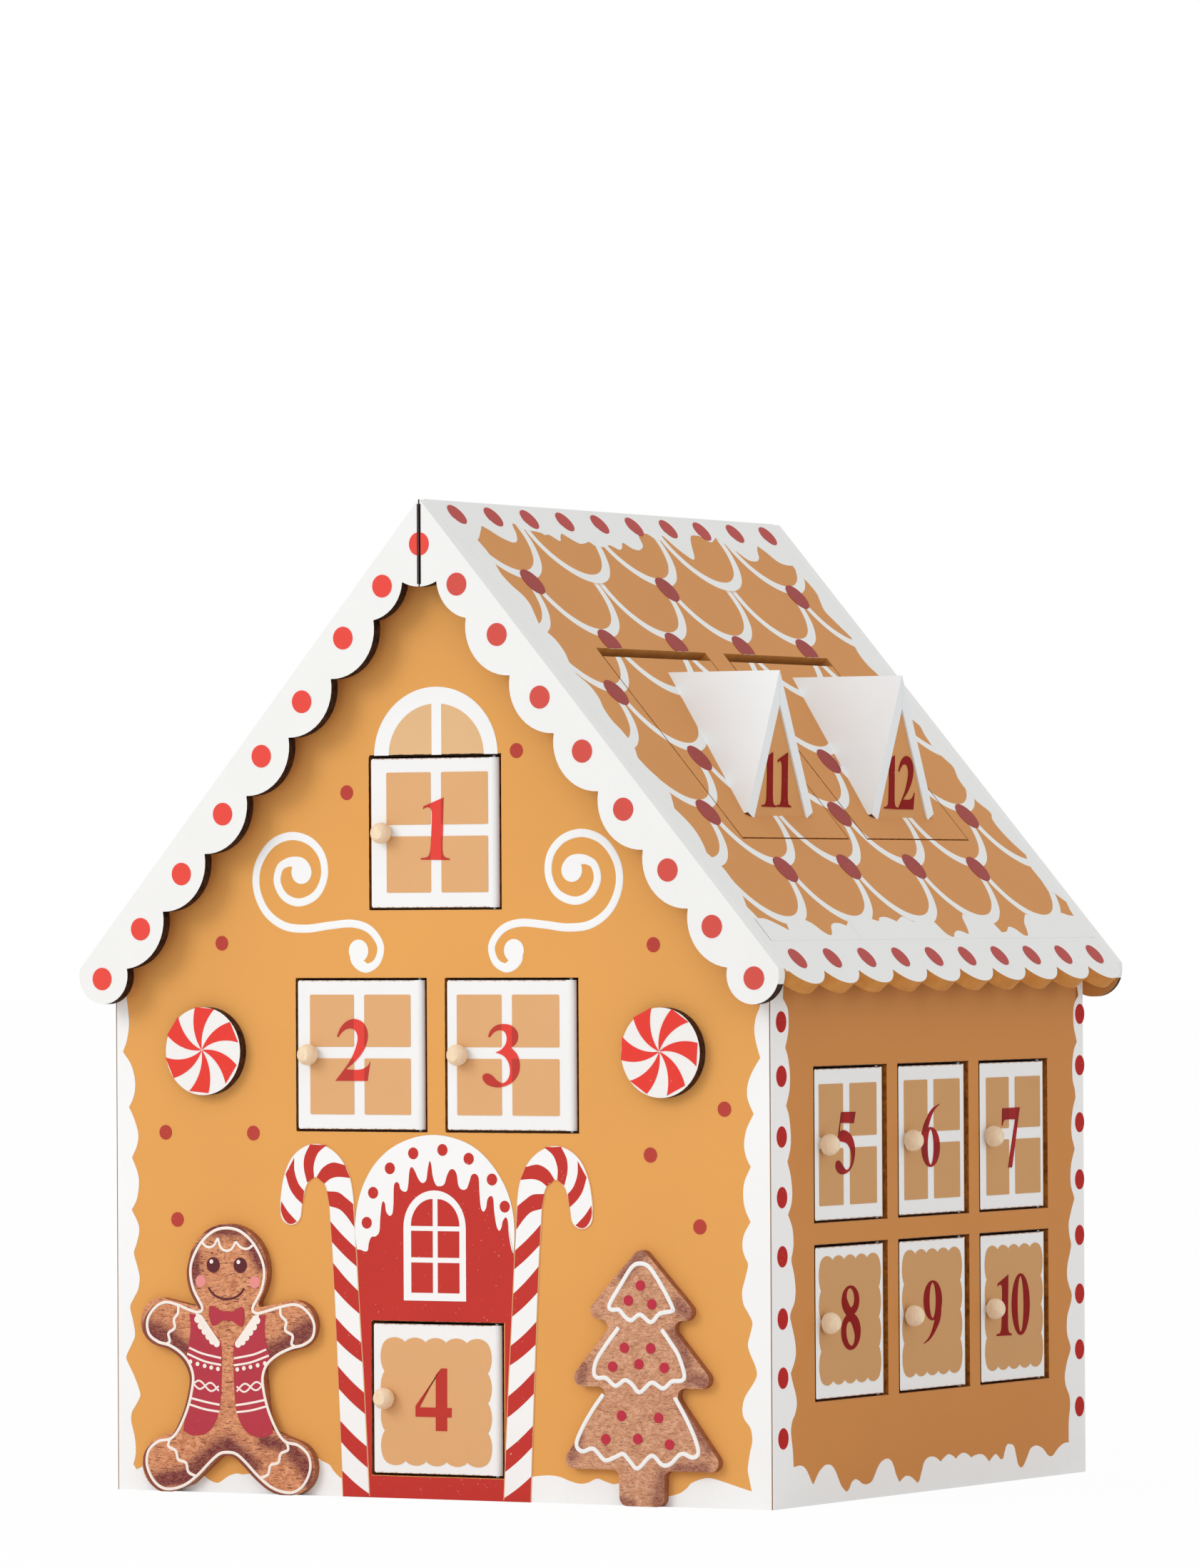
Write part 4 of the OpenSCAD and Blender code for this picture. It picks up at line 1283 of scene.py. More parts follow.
# %% The edges of the roof's icing
RIDGE_EDGE = [
    (-115, 18.5), (-102.2, 17.5), CORNER, (-100, 16.5), (-95, 13), (-92, 10.8), CORNER, (-89, 12.5),
    (-85, 15.5), (-80, 17.6), (-76, 17), (-72.5, 13.5), (-70.5, 9.5), (-68.5, 8.6), (-66, 11),
    (-56, 12), (-53.2, 13.2), CORNER, (-50, 13), (-46, 15.5), (-43.5, 13.6), (-41, 12), (-39, 13),
    (-36, 15), (-33, 16.2), (-28, 15.5), (-26, 15), (-23, 17), (-17, 17), CORNER, (-13, 16),
    (-9, 17.8), (-6, 17), (-2.5, 14.4), (1, 16.7), (4, 17.5), (7, 17), (10.5, 15), (12.5, 11),
    (15, 9.5), (20, 9.3), (23, 11.3), (27, 12), (30, 9.5), CORNER, (31, 10.5), (33.5, 15), (37, 19),
    (39.5, 20.3), (42, 18.5), (46, 13.5), (50, 9.5), (54, 8.2), (58, 8.8), (62, 11.2), (66, 10),
    (68.5, 9), (72, 12), (76, 15), CORNER, (77, 16), (80, 18.8), (85, 19.2), (89, 17.5), (92, 14),
    (95, 11.5), CORNER, (98, 14.5), (101, 18.5), (105, 20), (110.6, 20.2), (118.2, 20.2),
]
EAVE_EDGE = [
    (-111, 182.5), (-104, 182.8), (-98, 185.5), (-94, 187.8), CORNER, (-90, 183), (-79, 183), CORNER,
    (-75, 185), (-72, 188.5), (-69, 190), (-66.5, 189), (-63.5, 186), (-60, 184.8), (-56, 185),
    (-53, 186), CORNER, (-49.5, 184), (-48, 182.5), (-34, 182.5), CORNER, (-28.5, 184), (-26, 182.6),
    (-22, 182.3), (-19, 183), (-16, 184.3), CORNER, (-12, 182.8), (-9, 182.3), (-4, 184.8), CORNER,
    (-2, 182.5), (8, 182.5), CORNER, (10, 184.5), (12, 189.5), (15.5, 191.3), (18.5, 189.5),
    (22, 188.5), (25, 189), (28, 190), (30.5, 187), (32.5, 183), (35, 181), CORNER, (38, 182),
    (51, 182.5), CORNER, (52.8, 189.5), CORNER, (57, 189), (61, 187), (64.5, 188), (67, 190.5),
    (70, 191), (72.5, 188.5), (75, 185), (80, 181.5), CORNER, (84, 182), (104, 182), CORNER,
    (108, 181), (112, 182), (118.2, 182.5),
]
FRONT_RAKE = [
    (-103, 8), (-102.2, 17.4), CORNER, (-101.5, 23), (-102.7, 28.5), CORNER, (-103.8, 33),
    (-102.5, 38), (-100.2, 42), (-100, 46), (-101.8, 50), (-104.3, 55), CORNER, (-102.6, 58.7),
    (-101.1, 62), (-101.4, 67), (-103.3, 71), CORNER, (-105, 76.7), CORNER, (-101.9, 82), (-102, 87),
    (-104.2, 92), (-104.8, 97), (-103.6, 101), (-103.2, 104.7), CORNER, (-104, 109.3),
    (-106.7, 113.8), (-105.3, 118.5), (-103, 123.5), (-103.7, 129.5), CORNER, (-106, 132.5),
    (-108.2, 135.3), CORNER, (-106.2, 140.5), (-105.7, 145), (-107, 150), (-109.4, 154.5), CORNER,
    (-106.3, 160.5), (-106.2, 166), (-105.7, 170), CORNER, (-108.2, 174.3), CORNER, (-110.2, 177.5),
    CORNER, (-108.7, 182.5), (-108.7, 192),
]
BACK_RAKE = [
    (110, 8), (110, 20), (110.1, 23.5), (111.8, 28.3), CORNER, (112, 33), (109.8, 37), (107.6, 41.5),
    (109.3, 47), (112, 53.8), CORNER, (109.6, 57.5), (108, 62), (108.2, 67), (110, 71), (112, 78),
    CORNER, (108.5, 85), (109, 91), (111.5, 95), (110, 99), (109, 104), CORNER, (110.5, 109.5),
    (112.5, 114), (109.6, 119), (108.9, 124), (110, 130), CORNER, (113.6, 135), (111.2, 138),
    (110.6, 142), (112, 148), (115.3, 154.5), CORNER, (112, 159.8), (112, 166), (111, 171), CORNER,
    (114.5, 172), CORNER, (118, 176), CORNER, (115.6, 182), (115.6, 192),
]
print("points along the ridge:", len([point for point in RIDGE_EDGE if point is not CORNER]))

# %% [markdown]
# Each band runs from its wavy edge straight to the side of the board. The far edge is the near one
# with one of its two numbers replaced, so both have equally many points and make a strip.

# %% Bands of icing round the roof


def border(work, near, straight, shade="white_icing"):
    """Icing between a wavy edge and the straight side of the board that it runs along. straight is
    (0, place) for an upright side and (1, place) for a level one."""
    axis, place = straight
    far = near.copy()
    far[:, axis] = place
    work.add(strip(near, far), shade)


ROOF_BANDS = [
    (RIDGE_EDGE, (1, -8)), (EAVE_EDGE, (1, -192)),
    (FRONT_RAKE, (0, -111)), (BACK_RAKE, (0, 118.5)),
]
roof_work = {side: Paintwork(roof_board(side)) for side in (1, -1)}
for work in roof_work.values():
    for points, straight in ROOF_BANDS:
        border(work, edge(points) * [1, -1], straight, "roof_icing")
print("bands on each slope:", len(ROOF_BANDS))

# %% [markdown]
# A red dot lies where scales meet, and a row of them runs along the ridge and along the eave. The
# dots over a flap end at the slot in which the flap swings, and a dot on a flap rides with it.

# %% Dots on the roof and on the flaps
ROOF_DOTS = [
    (-86.5, 35.5), (3.5, 35.5), (95, 35.5), (-65, 61.4), (-20, 61.4), (26, 61.4),
    (71, 61.4), (-87.5, 84.5), (93.8, 84.5), (-87.5, 136.8), (2.2, 136.8), (94, 136.8),
    (-65, 161.5), (-20, 160.3), (26.5, 160), (71.5, 161),
]
FLAP_DOTS = {11: (-65.0, 112.8), 12: (24.0, 112.8)}
SLOT_START = 64.2
ROOF_DOT_R = 5.45
DOT_TOP = 0.19
# The rows: how far down the slope they are, and how big their dots are
EDGE_ROWS = [(6.3, 4.25), (199.7, 4.1)]
edge_places = [-102.8 + 23.5 * i for i in range(10)]
for side, word in ((1, "right"), (-1, "left")):
    work = roof_work[side]
    for u, s in ROOF_DOTS:
        dot = circle(u, -s, ROOF_DOT_R)
        if s < SLOT_START:
            dot[:, 1] = np.maximum(dot[:, 1], -SLOT_START)
        work.add(plate(dot, DOT_TOP), "roof_red")
    for u in edge_places:
        for s, r in EDGE_ROWS:
            work.add(plate(circle(u, -s, r), DOT_TOP), "roof_edge_red")
    work.done(f"roof_icing_{word}", "house", "roof_paint")
for number in DORMERS:
    u, s = FLAP_DOTS[twin(number)]
    work = Paintwork(roof_board(side_of(number)))
    work.add(plate(circle(u, -s, ROOF_DOT_R)), "roof_red")
    work.done(f"flap_{number}_dot", f"flap_{number}", "roof_paint")

# %% [markdown]
# ## The front's painted scene
# Everything on the front is icing: wavy borders, curls, an arched window over the top door, and a
# red doorway between two candy canes. Layers of paint lie on one another, so each layer is a little
# higher than the one below it, as it is on the printed and varnished original.

# %% The edges of the front's icing
LAYER = [PAINT, 0.17, 0.22, 0.27]
LEFT_WAVE = [
    (-121.5, 174), (-121, 166), (-120.2, 160), (-119.9, 155), (-120.8, 150), (-122.3, 146.3), CORNER,
    (-119.1, 142), (-117.6, 137), (-117.7, 133), (-118.7, 130), (-120, 127.8), CORNER, (-118, 124),
    (-116.4, 119), (-116.9, 115), (-118.9, 111), CORNER, (-116.7, 106), (-116.2, 102), (-117.1, 97),
    (-119.1, 93.5), CORNER, (-116.6, 89), (-116.2, 86), (-117.3, 82), (-118.3, 79), (-117.1, 75),
    (-116.1, 71), (-116.7, 67), (-118.4, 64), (-119.9, 61), (-118.9, 57), (-118, 52), (-119.1, 49),
    (-121.3, 45), (-121.2, 43), (-118.4, 38), (-116.3, 33), (-116.2, 31), (-118, 28), (-119.3, 26),
    (-119.7, 23), (-118.4, 18), (-117.9, 14), (-118.1, 11), (-118.9, 8.5), CORNER, (-117.6, 6.8),
]
RIGHT_WAVE = [
    (122.5, 174), (122.3, 166), (121.1, 161), CORNER, (119.8, 158), (119.2, 154), (119.8, 150),
    (121.3, 145), CORNER, (118.6, 141), (116.8, 137), (116.4, 133), (117.3, 130), (118.8, 127),
    CORNER, (116.1, 122), (115.2, 117), (116, 113), (117.6, 110), CORNER, (115.2, 105), (114.8, 100),
    (115.6, 96), (117.4, 92.3), CORNER, (114.9, 88), (114.4, 84), (115.3, 81), (116.4, 78.5),
    (115.3, 74), (114.2, 70), (114.6, 66), (116.4, 63), (117.9, 60), (117.3, 57), (116.2, 53),
    (117, 50), (118.9, 46), (119.4, 43), (117.8, 40), (115, 36), (114, 32), (114.7, 29), (117, 26),
    (117.6, 22), (116.7, 18), (115.9, 13), (116.4, 10), (117.3, 5.8),
]
FOOT_LEFT = [
    (-117.6, 6.8), (-115, 8), (-112.5, 9.5), (-105, 12), (-97, 9), (-91, 5.4), (-88, 3.7),
    (-85.5, 3.2), (-83.5, 4.2), (-81, 5.7), (-78, 6.5), (-75, 6.3), (-66, 8), (-57, 12.5),
    (-47, 12.3), (-45, 11.5), (-42, 10.3), (-40.5, 8.5), (-38, 6.3), (-36.2, 6),
]
FOOT_RIGHT = [
    (34.5, 8), (37, 8.6), (42, 9), (46, 8.6), (50, 7.3), (53.5, 6.6), (56.5, 7), (60, 8.4), (63, 7.6),
    (66, 6.8), (69, 6.9), (76, 4.5), (82, 3.6), (86, 3.5), (88, 3.7), (91, 4.6), (93.5, 6.3),
    (95, 7.8), (98.5, 9.2), (102, 9.7), (107, 8.6), (112, 7.2), (117.3, 5.8),
]
print("heights of the four layers of paint:", LAYER)

# %% [markdown]
# Drifts of snow lie along the foot, on both sides of the doorway. Where a side border and a drift
# meet, a square of icing fills the corner.

# %% Borders of the front
WIDE = WALL_X - CORNER_WEAR


def gable_borders(work, left, right, feet):
    """The borders of a gable: a left and a right edge, and the edges of the drifts."""
    border(work, edge(left), (0, -WIDE))
    border(work, edge(right), (0, WIDE))
    for foot in feet:
        border(work, edge(foot), (1, 0.0))
    for (u, v), outer in ((left[-1], -WIDE), (right[-1], WIDE)):
        low, high = sorted((u, outer))
        work.add(plate([(low, 0), (high, 0), (high, v), (low, v)]), "white_icing")


work = Paintwork(FRONT)
gable_borders(work, LEFT_WAVE, RIGHT_WAVE, (FOOT_LEFT, FOOT_RIGHT))
work.done("front_borders", "house", "gable_paint")

# %% [markdown]
# A curl is one line of icing of uneven width, with a ball where the bag was pressed at each end. The
# right curl is the left one's mirror image.

# %% Dots and curls
WALL_DOTS = [
    (-34, 232), (31, 245), (-83, 182.5), (82, 181.5), (-105.5, 119.5), (-71, 119.5), (108, 128.5),
    (80.5, 113.5), (-101, 90.5), (98.7, 90.5),
]
# Right, up and width
CURL = [
    (-49.3, 205, 2.2), (-49.9, 207, 3.6), (-51.9, 208.5, 4.4), (-54.5, 209.3, 3.6),
    (-57.3, 209.1, 2.9), (-60.2, 207.3, 2.7), (-61.2, 202.6, 2.7), (-58.3, 197.8, 2.7),
    (-52.6, 195.9, 2.7), (-46.2, 198.4, 2.7), (-42.9, 204.4, 2.7), (-43.8, 211.2, 2.7),
    (-48.6, 216.2, 2.7), (-56, 217.9, 2.7), (-63.5, 215.2, 2.7), (-68.6, 208.4, 2.7),
    (-69.3, 200.5, 2.7), (-65.6, 192.9, 2.7), (-58.6, 188.2, 2.7), (-50, 187.2, 2.7),
    (-41, 188.2, 2.6), (-32, 188.8, 2.6), (-25.3, 186.7, 2.6), (-21.3, 181.5, 2.6),
    (-22.5, 176.4, 2.6), (-26, 174.2, 2.9), (-28.6, 174.9, 3.8), (-30.9, 176.9, 3.8),
    (-32, 179.2, 2.4),
]
CURL_BALLS = [(-51.7, 205.9, 3.9), (-29.7, 179.8, 3.75)]
WALL_DOT_R = 2.45
work = Paintwork(FRONT)
for u, v in WALL_DOTS:
    work.add(plate(circle(u, v, WALL_DOT_R)), "wall_dot")
for side in (1, -1):
    path = curve(np.array(CURL) * [side, 1, 1])
    work.add(line(path[:, :2], path[:, 2]), "white_icing")
    for u, v, r in CURL_BALLS:
        work.add(plate(circle(side * u, v, r)), "white_icing")
work.done("front_curls_and_dots", "house", "gable_paint")

# %% [markdown]
# Over the top door stands an arch of icing with two pale panes. It is the outer half oval carried
# to the inner one, with an upright bar in the middle.

# %% The arched window over door 1
OPENING_TOP = 218.5 + HALF_OPENING + 0.4
ARCH_TOP, PANE_TOP = 266.4, 260.9


def half_oval(u, v, half_w, rise, count):
    """Half an oval over the level v, from its right end to its left end."""
    turn = np.linspace(0, np.pi, count)
    return np.stack([u + half_w * np.cos(turn), v + rise * np.sin(turn)], axis=1)


outer = half_oval(0.3, OPENING_TOP, 23.6, ARCH_TOP - OPENING_TOP, 41)
inner = half_oval(0.5, OPENING_TOP, 18.2, PANE_TOP - OPENING_TOP, 41)
work = Paintwork(FRONT)
work.add(plate(inner, LAYER[0] / 2), "arch_pane")
work.add(strip(outer, inner), "white_icing")
work.add(plate(rectangle((-1.2, 2.5), (OPENING_TOP, 261.4), 0.01)), "white_icing")
work.done("arched_window_over_door_1", "house", "gable_paint")

# %% [markdown]
# ### The doorway
# The doorway round door 4 is one red area with a hole for the door, so it is painted as four parts
# that surround the opening: a strip on each side, the foot, and the dome over the door.

# %% The red area
ARCH = [
    (-30.8, 81.5), (-31.6, 88), (-30.6, 96), (-28, 103.3), (-23.5, 110), (-17, 115.2), (-9, 118.4),
    (-1, 119.4), (7, 118.3), (14.5, 115.3), (20.8, 110), (25.8, 103), (28.6, 95.5), (29.4, 88),
    (29, 80),
]
DOOR_MIDDLE = 32.75
HOLE = 25.55
LOW, HIGH = DOOR_MIDDLE - HOLE, DOOR_MIDDLE + HOLE
doorway = Paintwork(FRONT)
# The jambs are straight lines that lean in as they rise
JAMB_TALL = 88
levels = np.linspace(0, 1, 24)
left_jamb = np.stack([-35.8 + 4.8 * levels, JAMB_TALL * levels], axis=1)
right_jamb = np.stack([34.6 - 5.4 * levels, JAMB_TALL * levels], axis=1)
heights = np.linspace(LOW, HIGH, 20)
for jamb, hole in ((left_jamb, -HOLE), (right_jamb, HOLE)):
    side = np.stack([np.interp(heights, jamb[:, 1], jamb[:, 0]), heights], axis=1)
    border(doorway, side, (0, hole), "door_red")
foot = [(-35.2, LOW), (-35.6, 1.6), (-34.2, 0), (33, 0), (34.4, 1.6), (34.2, LOW)]
doorway.add(plate(foot), "door_red")
shoulders = [(np.interp(HIGH, jamb[:, 1], jamb[:, 0]), HIGH) for jamb in (right_jamb, left_jamb)]
dome = curve(ARCH, 6)
doorway.add(plate(np.vstack([shoulders, dome])), "door_red")
print("the doorway is", round(dome[:, 1].max()), "mm tall")

# %% [markdown]
# Its icing cap has drips of different lengths. They were placed one by one, because even drips look
# like a printed pattern and not like icing.

# %% The icing cap
DRIPS = [
    (29.3, 80), (28.2, 82.5), (27.3, 87), (26.9, 91.5), (26.1, 92.7), (25, 91.5), (24.5, 89.5),
    (23.6, 88.3), (22.6, 90), (21.8, 94.5), (21.4, 98.8), (20.3, 99.6), (19.2, 98.4), (18.7, 95.8),
    (17.7, 94.5), (16.7, 96), (16.2, 101), (15.9, 105.5), (14.6, 106.8), (13.2, 106.3), (12.3, 104),
    (11.3, 101.9), (9.5, 101.6), (8.2, 103), (7.6, 106.5), (6.5, 108.1), (5, 108), (3.8, 106),
    (2.8, 103.3), (1, 102.6), (-0.5, 103.2), (-1.6, 106), (-2.1, 109.5), (-2.8, 110.8), (-3.5, 108),
    (-4.1, 104.6), (-5.5, 103.6), (-7, 104.8), (-8.6, 107.8), (-9.7, 108.8), (-10.5, 107.5),
    (-11, 103), (-11.5, 101), (-12.7, 100.7), (-14, 101.6), (-14.5, 103.2), (-15.5, 103.8),
    (-16.5, 102.5), (-16.7, 97), (-17.1, 93.6), (-18.2, 92.7), (-19.5, 94), (-19.9, 96.4),
    (-20.5, 97.4), (-21.2, 96.5), (-21.8, 92), (-22.2, 87.5), (-23.6, 85.9), (-25.3, 85.6),
    (-26.3, 83.5), (-26.7, 81.2), (-28, 80.9), (-29.5, 81.5),
]
CAP_DOTS = [
    (-9, 113.3), (2.2, 114.5), (12.2, 111.7), (21, 105), (25.8, 96.2), (-18, 108.3), (-24.5, 100.2),
    (-27, 90.3),
]
CAP_DOT_R = 1.95
cap = np.vstack([dome, curve(DRIPS, 5)[1:-1]])
doorway.add(plate(cap, LAYER[1]), "white_icing")
for u, v in CAP_DOTS:
    doorway.add(plate(circle(u, v, CAP_DOT_R), LAYER[2]), "door_red")
print("points round the cap:", len(cap))

# %% [markdown]
# The little window over the door is an icing surround with six red panes laid over it: two rows of
# two, and two quarter ovals at the top.

# %% The little window
WINDOW_MIDDLE, WINDOW_FOOT = -1, 65
WINDOW_HALF = 11.9
PANE_MIDDLE = -0.75
ARCH_FOOT = 89.5
feet = [(WINDOW_MIDDLE - WINDOW_HALF, WINDOW_FOOT), (WINDOW_MIDDLE + WINDOW_HALF, WINDOW_FOOT)]
surround = np.vstack([feet, half_oval(WINDOW_MIDDLE, 89, WINDOW_HALF, 12.2, 25)])
doorway.add(plate(surround, LAYER[1]), "white_icing")
quarter = np.linspace(0, 1, 12) * np.pi / 2
for side in (-1, 1):
    near, far = PANE_MIDDLE + side * 0.95, PANE_MIDDLE + side * 9.2
    for v in ((67.6, 77.5), (79.2, 87.9)):
        doorway.add(plate(rectangle(sorted((near, far)), v, 0.05), LAYER[2]), "door_red")
    rounded = [near + side * 8.3 * np.cos(quarter), ARCH_FOOT + 8.9 * np.sin(quarter)]
    pane = np.vstack([[(near, ARCH_FOOT)], np.stack(rounded, axis=1)])
    doorway.add(plate(pane, LAYER[2]), "door_red")
doorway.done("red_doorway", "house", "gable_paint")

# %% [markdown]
# ### Candy canes
# A cane is a line whose width changes, bent over at the top. Its stripes are strips between two
# lines across the cane. In the cane's own coordinates (distance from the foot, share across), a
# stripe is a plain slanting band, and the cane's curve bends it as the painter did.

# %% Where a cane and its stripes run
# Right, up and width, from the foot to the tip
CANE = [
    (-31.6, 0.2, 9.9), (-32.5, 20, 9.7), (-33.5, 40, 9.5), (-34.6, 60, 9.1), (-35.7, 80, 9),
    (-36.4, 90, 9.1), (-36.9, 98, 9.4), (-38.3, 104, 9.7), (-41.5, 108.6, 10.2), (-46.5, 110.6, 10.9),
    (-51.4, 108.8, 10.2), (-54.6, 104, 9.1), (-56.1, 97.5, 8.5), (-56.4, 93.3, 7.9),
]
# Each stripe of the stem: where it begins and ends on the inner and on the outer side
STRIPES = [
    (0, 8.5, 0, 0.8), (18, 25, 9.3, 16.3), (35.5, 43, 27, 34), (51.5, 59, 44, 50.5),
    (68.5, 77, 60, 67.5), (84, 90.8, 75.5, 81.6),
]
# In the hook the stripes bend, so each is drawn by its two sides
HOOK_STRIPES = [
    ([(-42.3, 100.5), (-38, 100.2), (-35, 98.4), (-32.2, 96.4)],
     [(-41.3, 95.6), (-37.5, 94.6), (-34.8, 92.4), (-31.8, 88.8)]),
    ([(-46.3, 105.2), (-43.8, 108.3), (-40, 110), (-35.4, 109.2)],
     [(-43.3, 103), (-41, 104.6), (-38, 105.3), (-33.4, 105)]),
    ([(-48.8, 115.9), (-50.9, 112), (-51.2, 108), (-50, 103.3)],
     [(-42.4, 115.7), (-45.8, 113), (-47.4, 109), (-47.3, 105.1)]),
    ([(-58.4, 106), (-56.8, 101.5), (-54.6, 98.5), (-51.9, 96.2)],
     [(-55, 111.4), (-54.9, 107), (-53.4, 103), (-51.2, 100.5)]),
]
TIP_STRIPE = [
    (-60.1, 97), (-57.5, 93.6), (-54.1, 90.4), CORNER, (-55.8, 89.6), (-57.6, 89.8), (-59.2, 91.4),
    (-60.2, 94),
]
print("stripes on a cane:", len(STRIPES) + len(HOOK_STRIPES) + 1)

# %% [markdown]
# The right cane is the mirror image of the left. A stripe of the stem is a band in the cane's own
# coordinates, and both its sides are bowed a little, because a stripe goes round a rod.

# %% Mirror images and slanting stripes
CANE_MIDDLE = -0.8
STRIPE_BOW = 0.4


def mirrored(points, side):
    """The points as they are for side 1, and across the middle between the canes for side -1."""
    points = np.array(points, float)
    if side < 0:
        points[:, 0] = 2 * CANE_MIDDLE - points[:, 0]
    return points


def stem_stripe(sides, path, far, normal):
    """A slanting band over the cane. Each of its sides starts at one distance from the foot on the
    inner edge and ends at another on the outer edge, bowed by a half sine of STRIPE_BOW."""
    across = np.linspace(0, 1, 9)
    bow = STRIPE_BOW * np.sin(np.pi * across)
    made = []
    for inner, outer in sides:
        at = np.clip(inner + (outer - inner) * across - bow * (inner != outer), 0, far[-1])
        spot = np.stack([np.interp(at, far, path[:, i]) for i in (0, 1)], axis=1)
        lean = np.stack([np.interp(at, far, normal[:, i]) for i in (0, 1)], axis=1)
        reach = np.interp(at, far, path[:, 2])
        made.append(spot + lean * (reach * (0.5 - across))[:, None])
    return strip(*made, LAYER[3])


print("the right cane's foot is at", mirrored(CANE, -1)[0, :2].round(1).tolist())

# %% [markdown]
# The stem is drawn twice: first a little wider in the tan of the bare wall, which is the thin line
# round the cane, and then in white on top of it. The stripes lie on top of both.

# %% Two candy canes
CANE_LINE = 0.35
work = Paintwork(FRONT)
for side in (1, -1):
    path = curve(mirrored(CANE, side), 10)
    place, width = path[:, :2], path[:, 2]
    along = np.gradient(place, axis=0)
    along /= np.linalg.norm(along, axis=1)[:, None]
    normal = np.stack([-along[:, 1], along[:, 0]], axis=1) * side
    for more, layer, shade in ((CANE_LINE, LAYER[1], "pane"), (0, LAYER[2], "white_icing")):
        edges = [place + normal * (width / 2 + more)[:, None] * s for s in (1, -1)]
        work.add(strip(*edges, layer), shade)
        work.add(plate(circle(*place[-1], width[-1] / 2 + more), layer), shade)
    steps = np.linalg.norm(np.diff(place, axis=0), axis=1)
    far = np.concatenate([[0], np.cumsum(steps)])
    for inner_0, inner_1, outer_0, outer_1 in STRIPES:
        sides = ((inner_0, outer_0), (inner_1, outer_1))
        work.add(stem_stripe(sides, path, far, normal), "door_red")
    for sides in HOOK_STRIPES:
        work.add(strip(*(mirrored(curve(one), side) for one in sides), LAYER[3]), "door_red")
    work.add(plate(mirrored(outline(TIP_STRIPE), side), LAYER[3]), "door_red")
work.done("candy_canes", "house", "gable_paint")

# %% [markdown]
# ## Cookies and candies
# The gingerbread man and the tree are glued on, so their icing lies on their own faces, a few
# millimetres before the wall. The faces are measured from the CAD solids, as everything else is.

# %% The faces of the ornaments
COOKIES_BELOW = 90
CANDIES_ABOVE = 120
ornaments = points_of("glued_ornaments")
cookies = ornaments[ornaments[:, 2] < COOKIES_BELOW]
candies = ornaments[ornaments[:, 2] > CANDIES_ABOVE]
COOKIE = Board([0, cookies[:, 1].min(), 0], [1, 0, 0], [0, 0, 1], [0, -1, 0])
CANDY = Board([0, candies[:, 1].min(), 0], [1, 0, 0], [0, 0, 1], [0, -1, 0])
print("faces of cookies and candies:", COOKIE.origin[1].round(2), CANDY.origin[1].round(2), "mm")

# %% [markdown]
# The man's icing follows the cut edge at an even distance, so the same few points describe it: one
# half is drawn and the other half is its mirror image. The real one isn't quite even, though. Its
# arms hang a little to the right of the body, and so does the icing on them.

# %% The man's drawn half
HALF_MAN = [
    (0, 88), (5.1, 87), (9.9, 83.4), (13.4, 78), (14.5, 73), (13.2, 67.3), (9.9, 61.6), (11.4, 59.9),
    (15, 60.6), (20.3, 62.2), (25.6, 63), (29.8, 61), (32.6, 57), (32.1, 52.4), (28.5, 49.8),
    (24, 48.7), (19, 46.3), (15.3, 43), (13.6, 38.5), (14.3, 33), (16.2, 27), (19.4, 20.8),
    (22.6, 17.6), (27.4, 16.6), (31.3, 13.4), (32, 8.7), (29.7, 3.9), (26, 1.2), (21.6, 1),
    (16.6, 2.6), (11.6, 6.1), (6.8, 10.5), (3.2, 13.1), (0, 13.6),
]
VEST = [
    (15, 59.4), CORNER, (10, 58.6), CORNER, (2.5, 50), CORNER, (2.2, 45), (2.7, 32), (3.8, 26),
    (6.2, 21.6), (9.5, 19.4), (14, 18.9), (17.6, 20.4), CORNER, (16.6, 26), (14.6, 33), (13.8, 38.5),
    (15.3, 43), (16.3, 45.5), CORNER, (14.8, 52), (14.6, 56),
]
VEST_LINES = [
    [(15.1, 48), (10, 46.2), (2.5, 44.8)],
    [(16, 46), (9, 43.6), (2.5, 42.5)],
    [(14.6, 31.3), (8, 30), (3.2, 29.3)],
    [(15.2, 29.2), (9, 27.7), (3.4, 27)],
]
VEST_BEADS = [(14.6, 43.4), (11.8, 42.7), (9, 42.1), (6.4, 41.6), (3.8, 41.2)]


def both_sides(points):
    """The drawn half of a shape and its mirror image about the middle of the figure. The arms hang
    a little to the right of the body, by a shift that grows from the shoulders outwards."""
    half = np.array(points, float)
    halves = half * [-1, 1], half
    for one in halves:
        arm = (one[:, 1] > 41) & (one[:, 1] < 64)
        one[:, 0] += arm * 1.1 * np.clip((np.abs(one[:, 0]) - 15) / 8, 0, 1)
    return halves


print("points of the drawn half:", len(HALF_MAN))

# %% [markdown]
# The vest is printed flat, and lines and beads of icing are piped over it. The wavy line across it
# is a sine: with t the share of its length, it rises and falls by 1.35 sin(2.2 pi t).

# %% The vest
FLAT_PRINT = 0.06


def beads(work, places, r, count, top):
    """A dot of icing at each place and at its mirror image."""
    for u, v in places:
        for side in (-1, 1):
            work.add(plate(circle(side * u, v, r, count), top), "cookie_icing")


def piped(work, points, width, top):
    """A smooth line of icing and its mirror image."""
    for half in both_sides(points):
        work.add(line(curve(half), width, top), "cookie_icing")


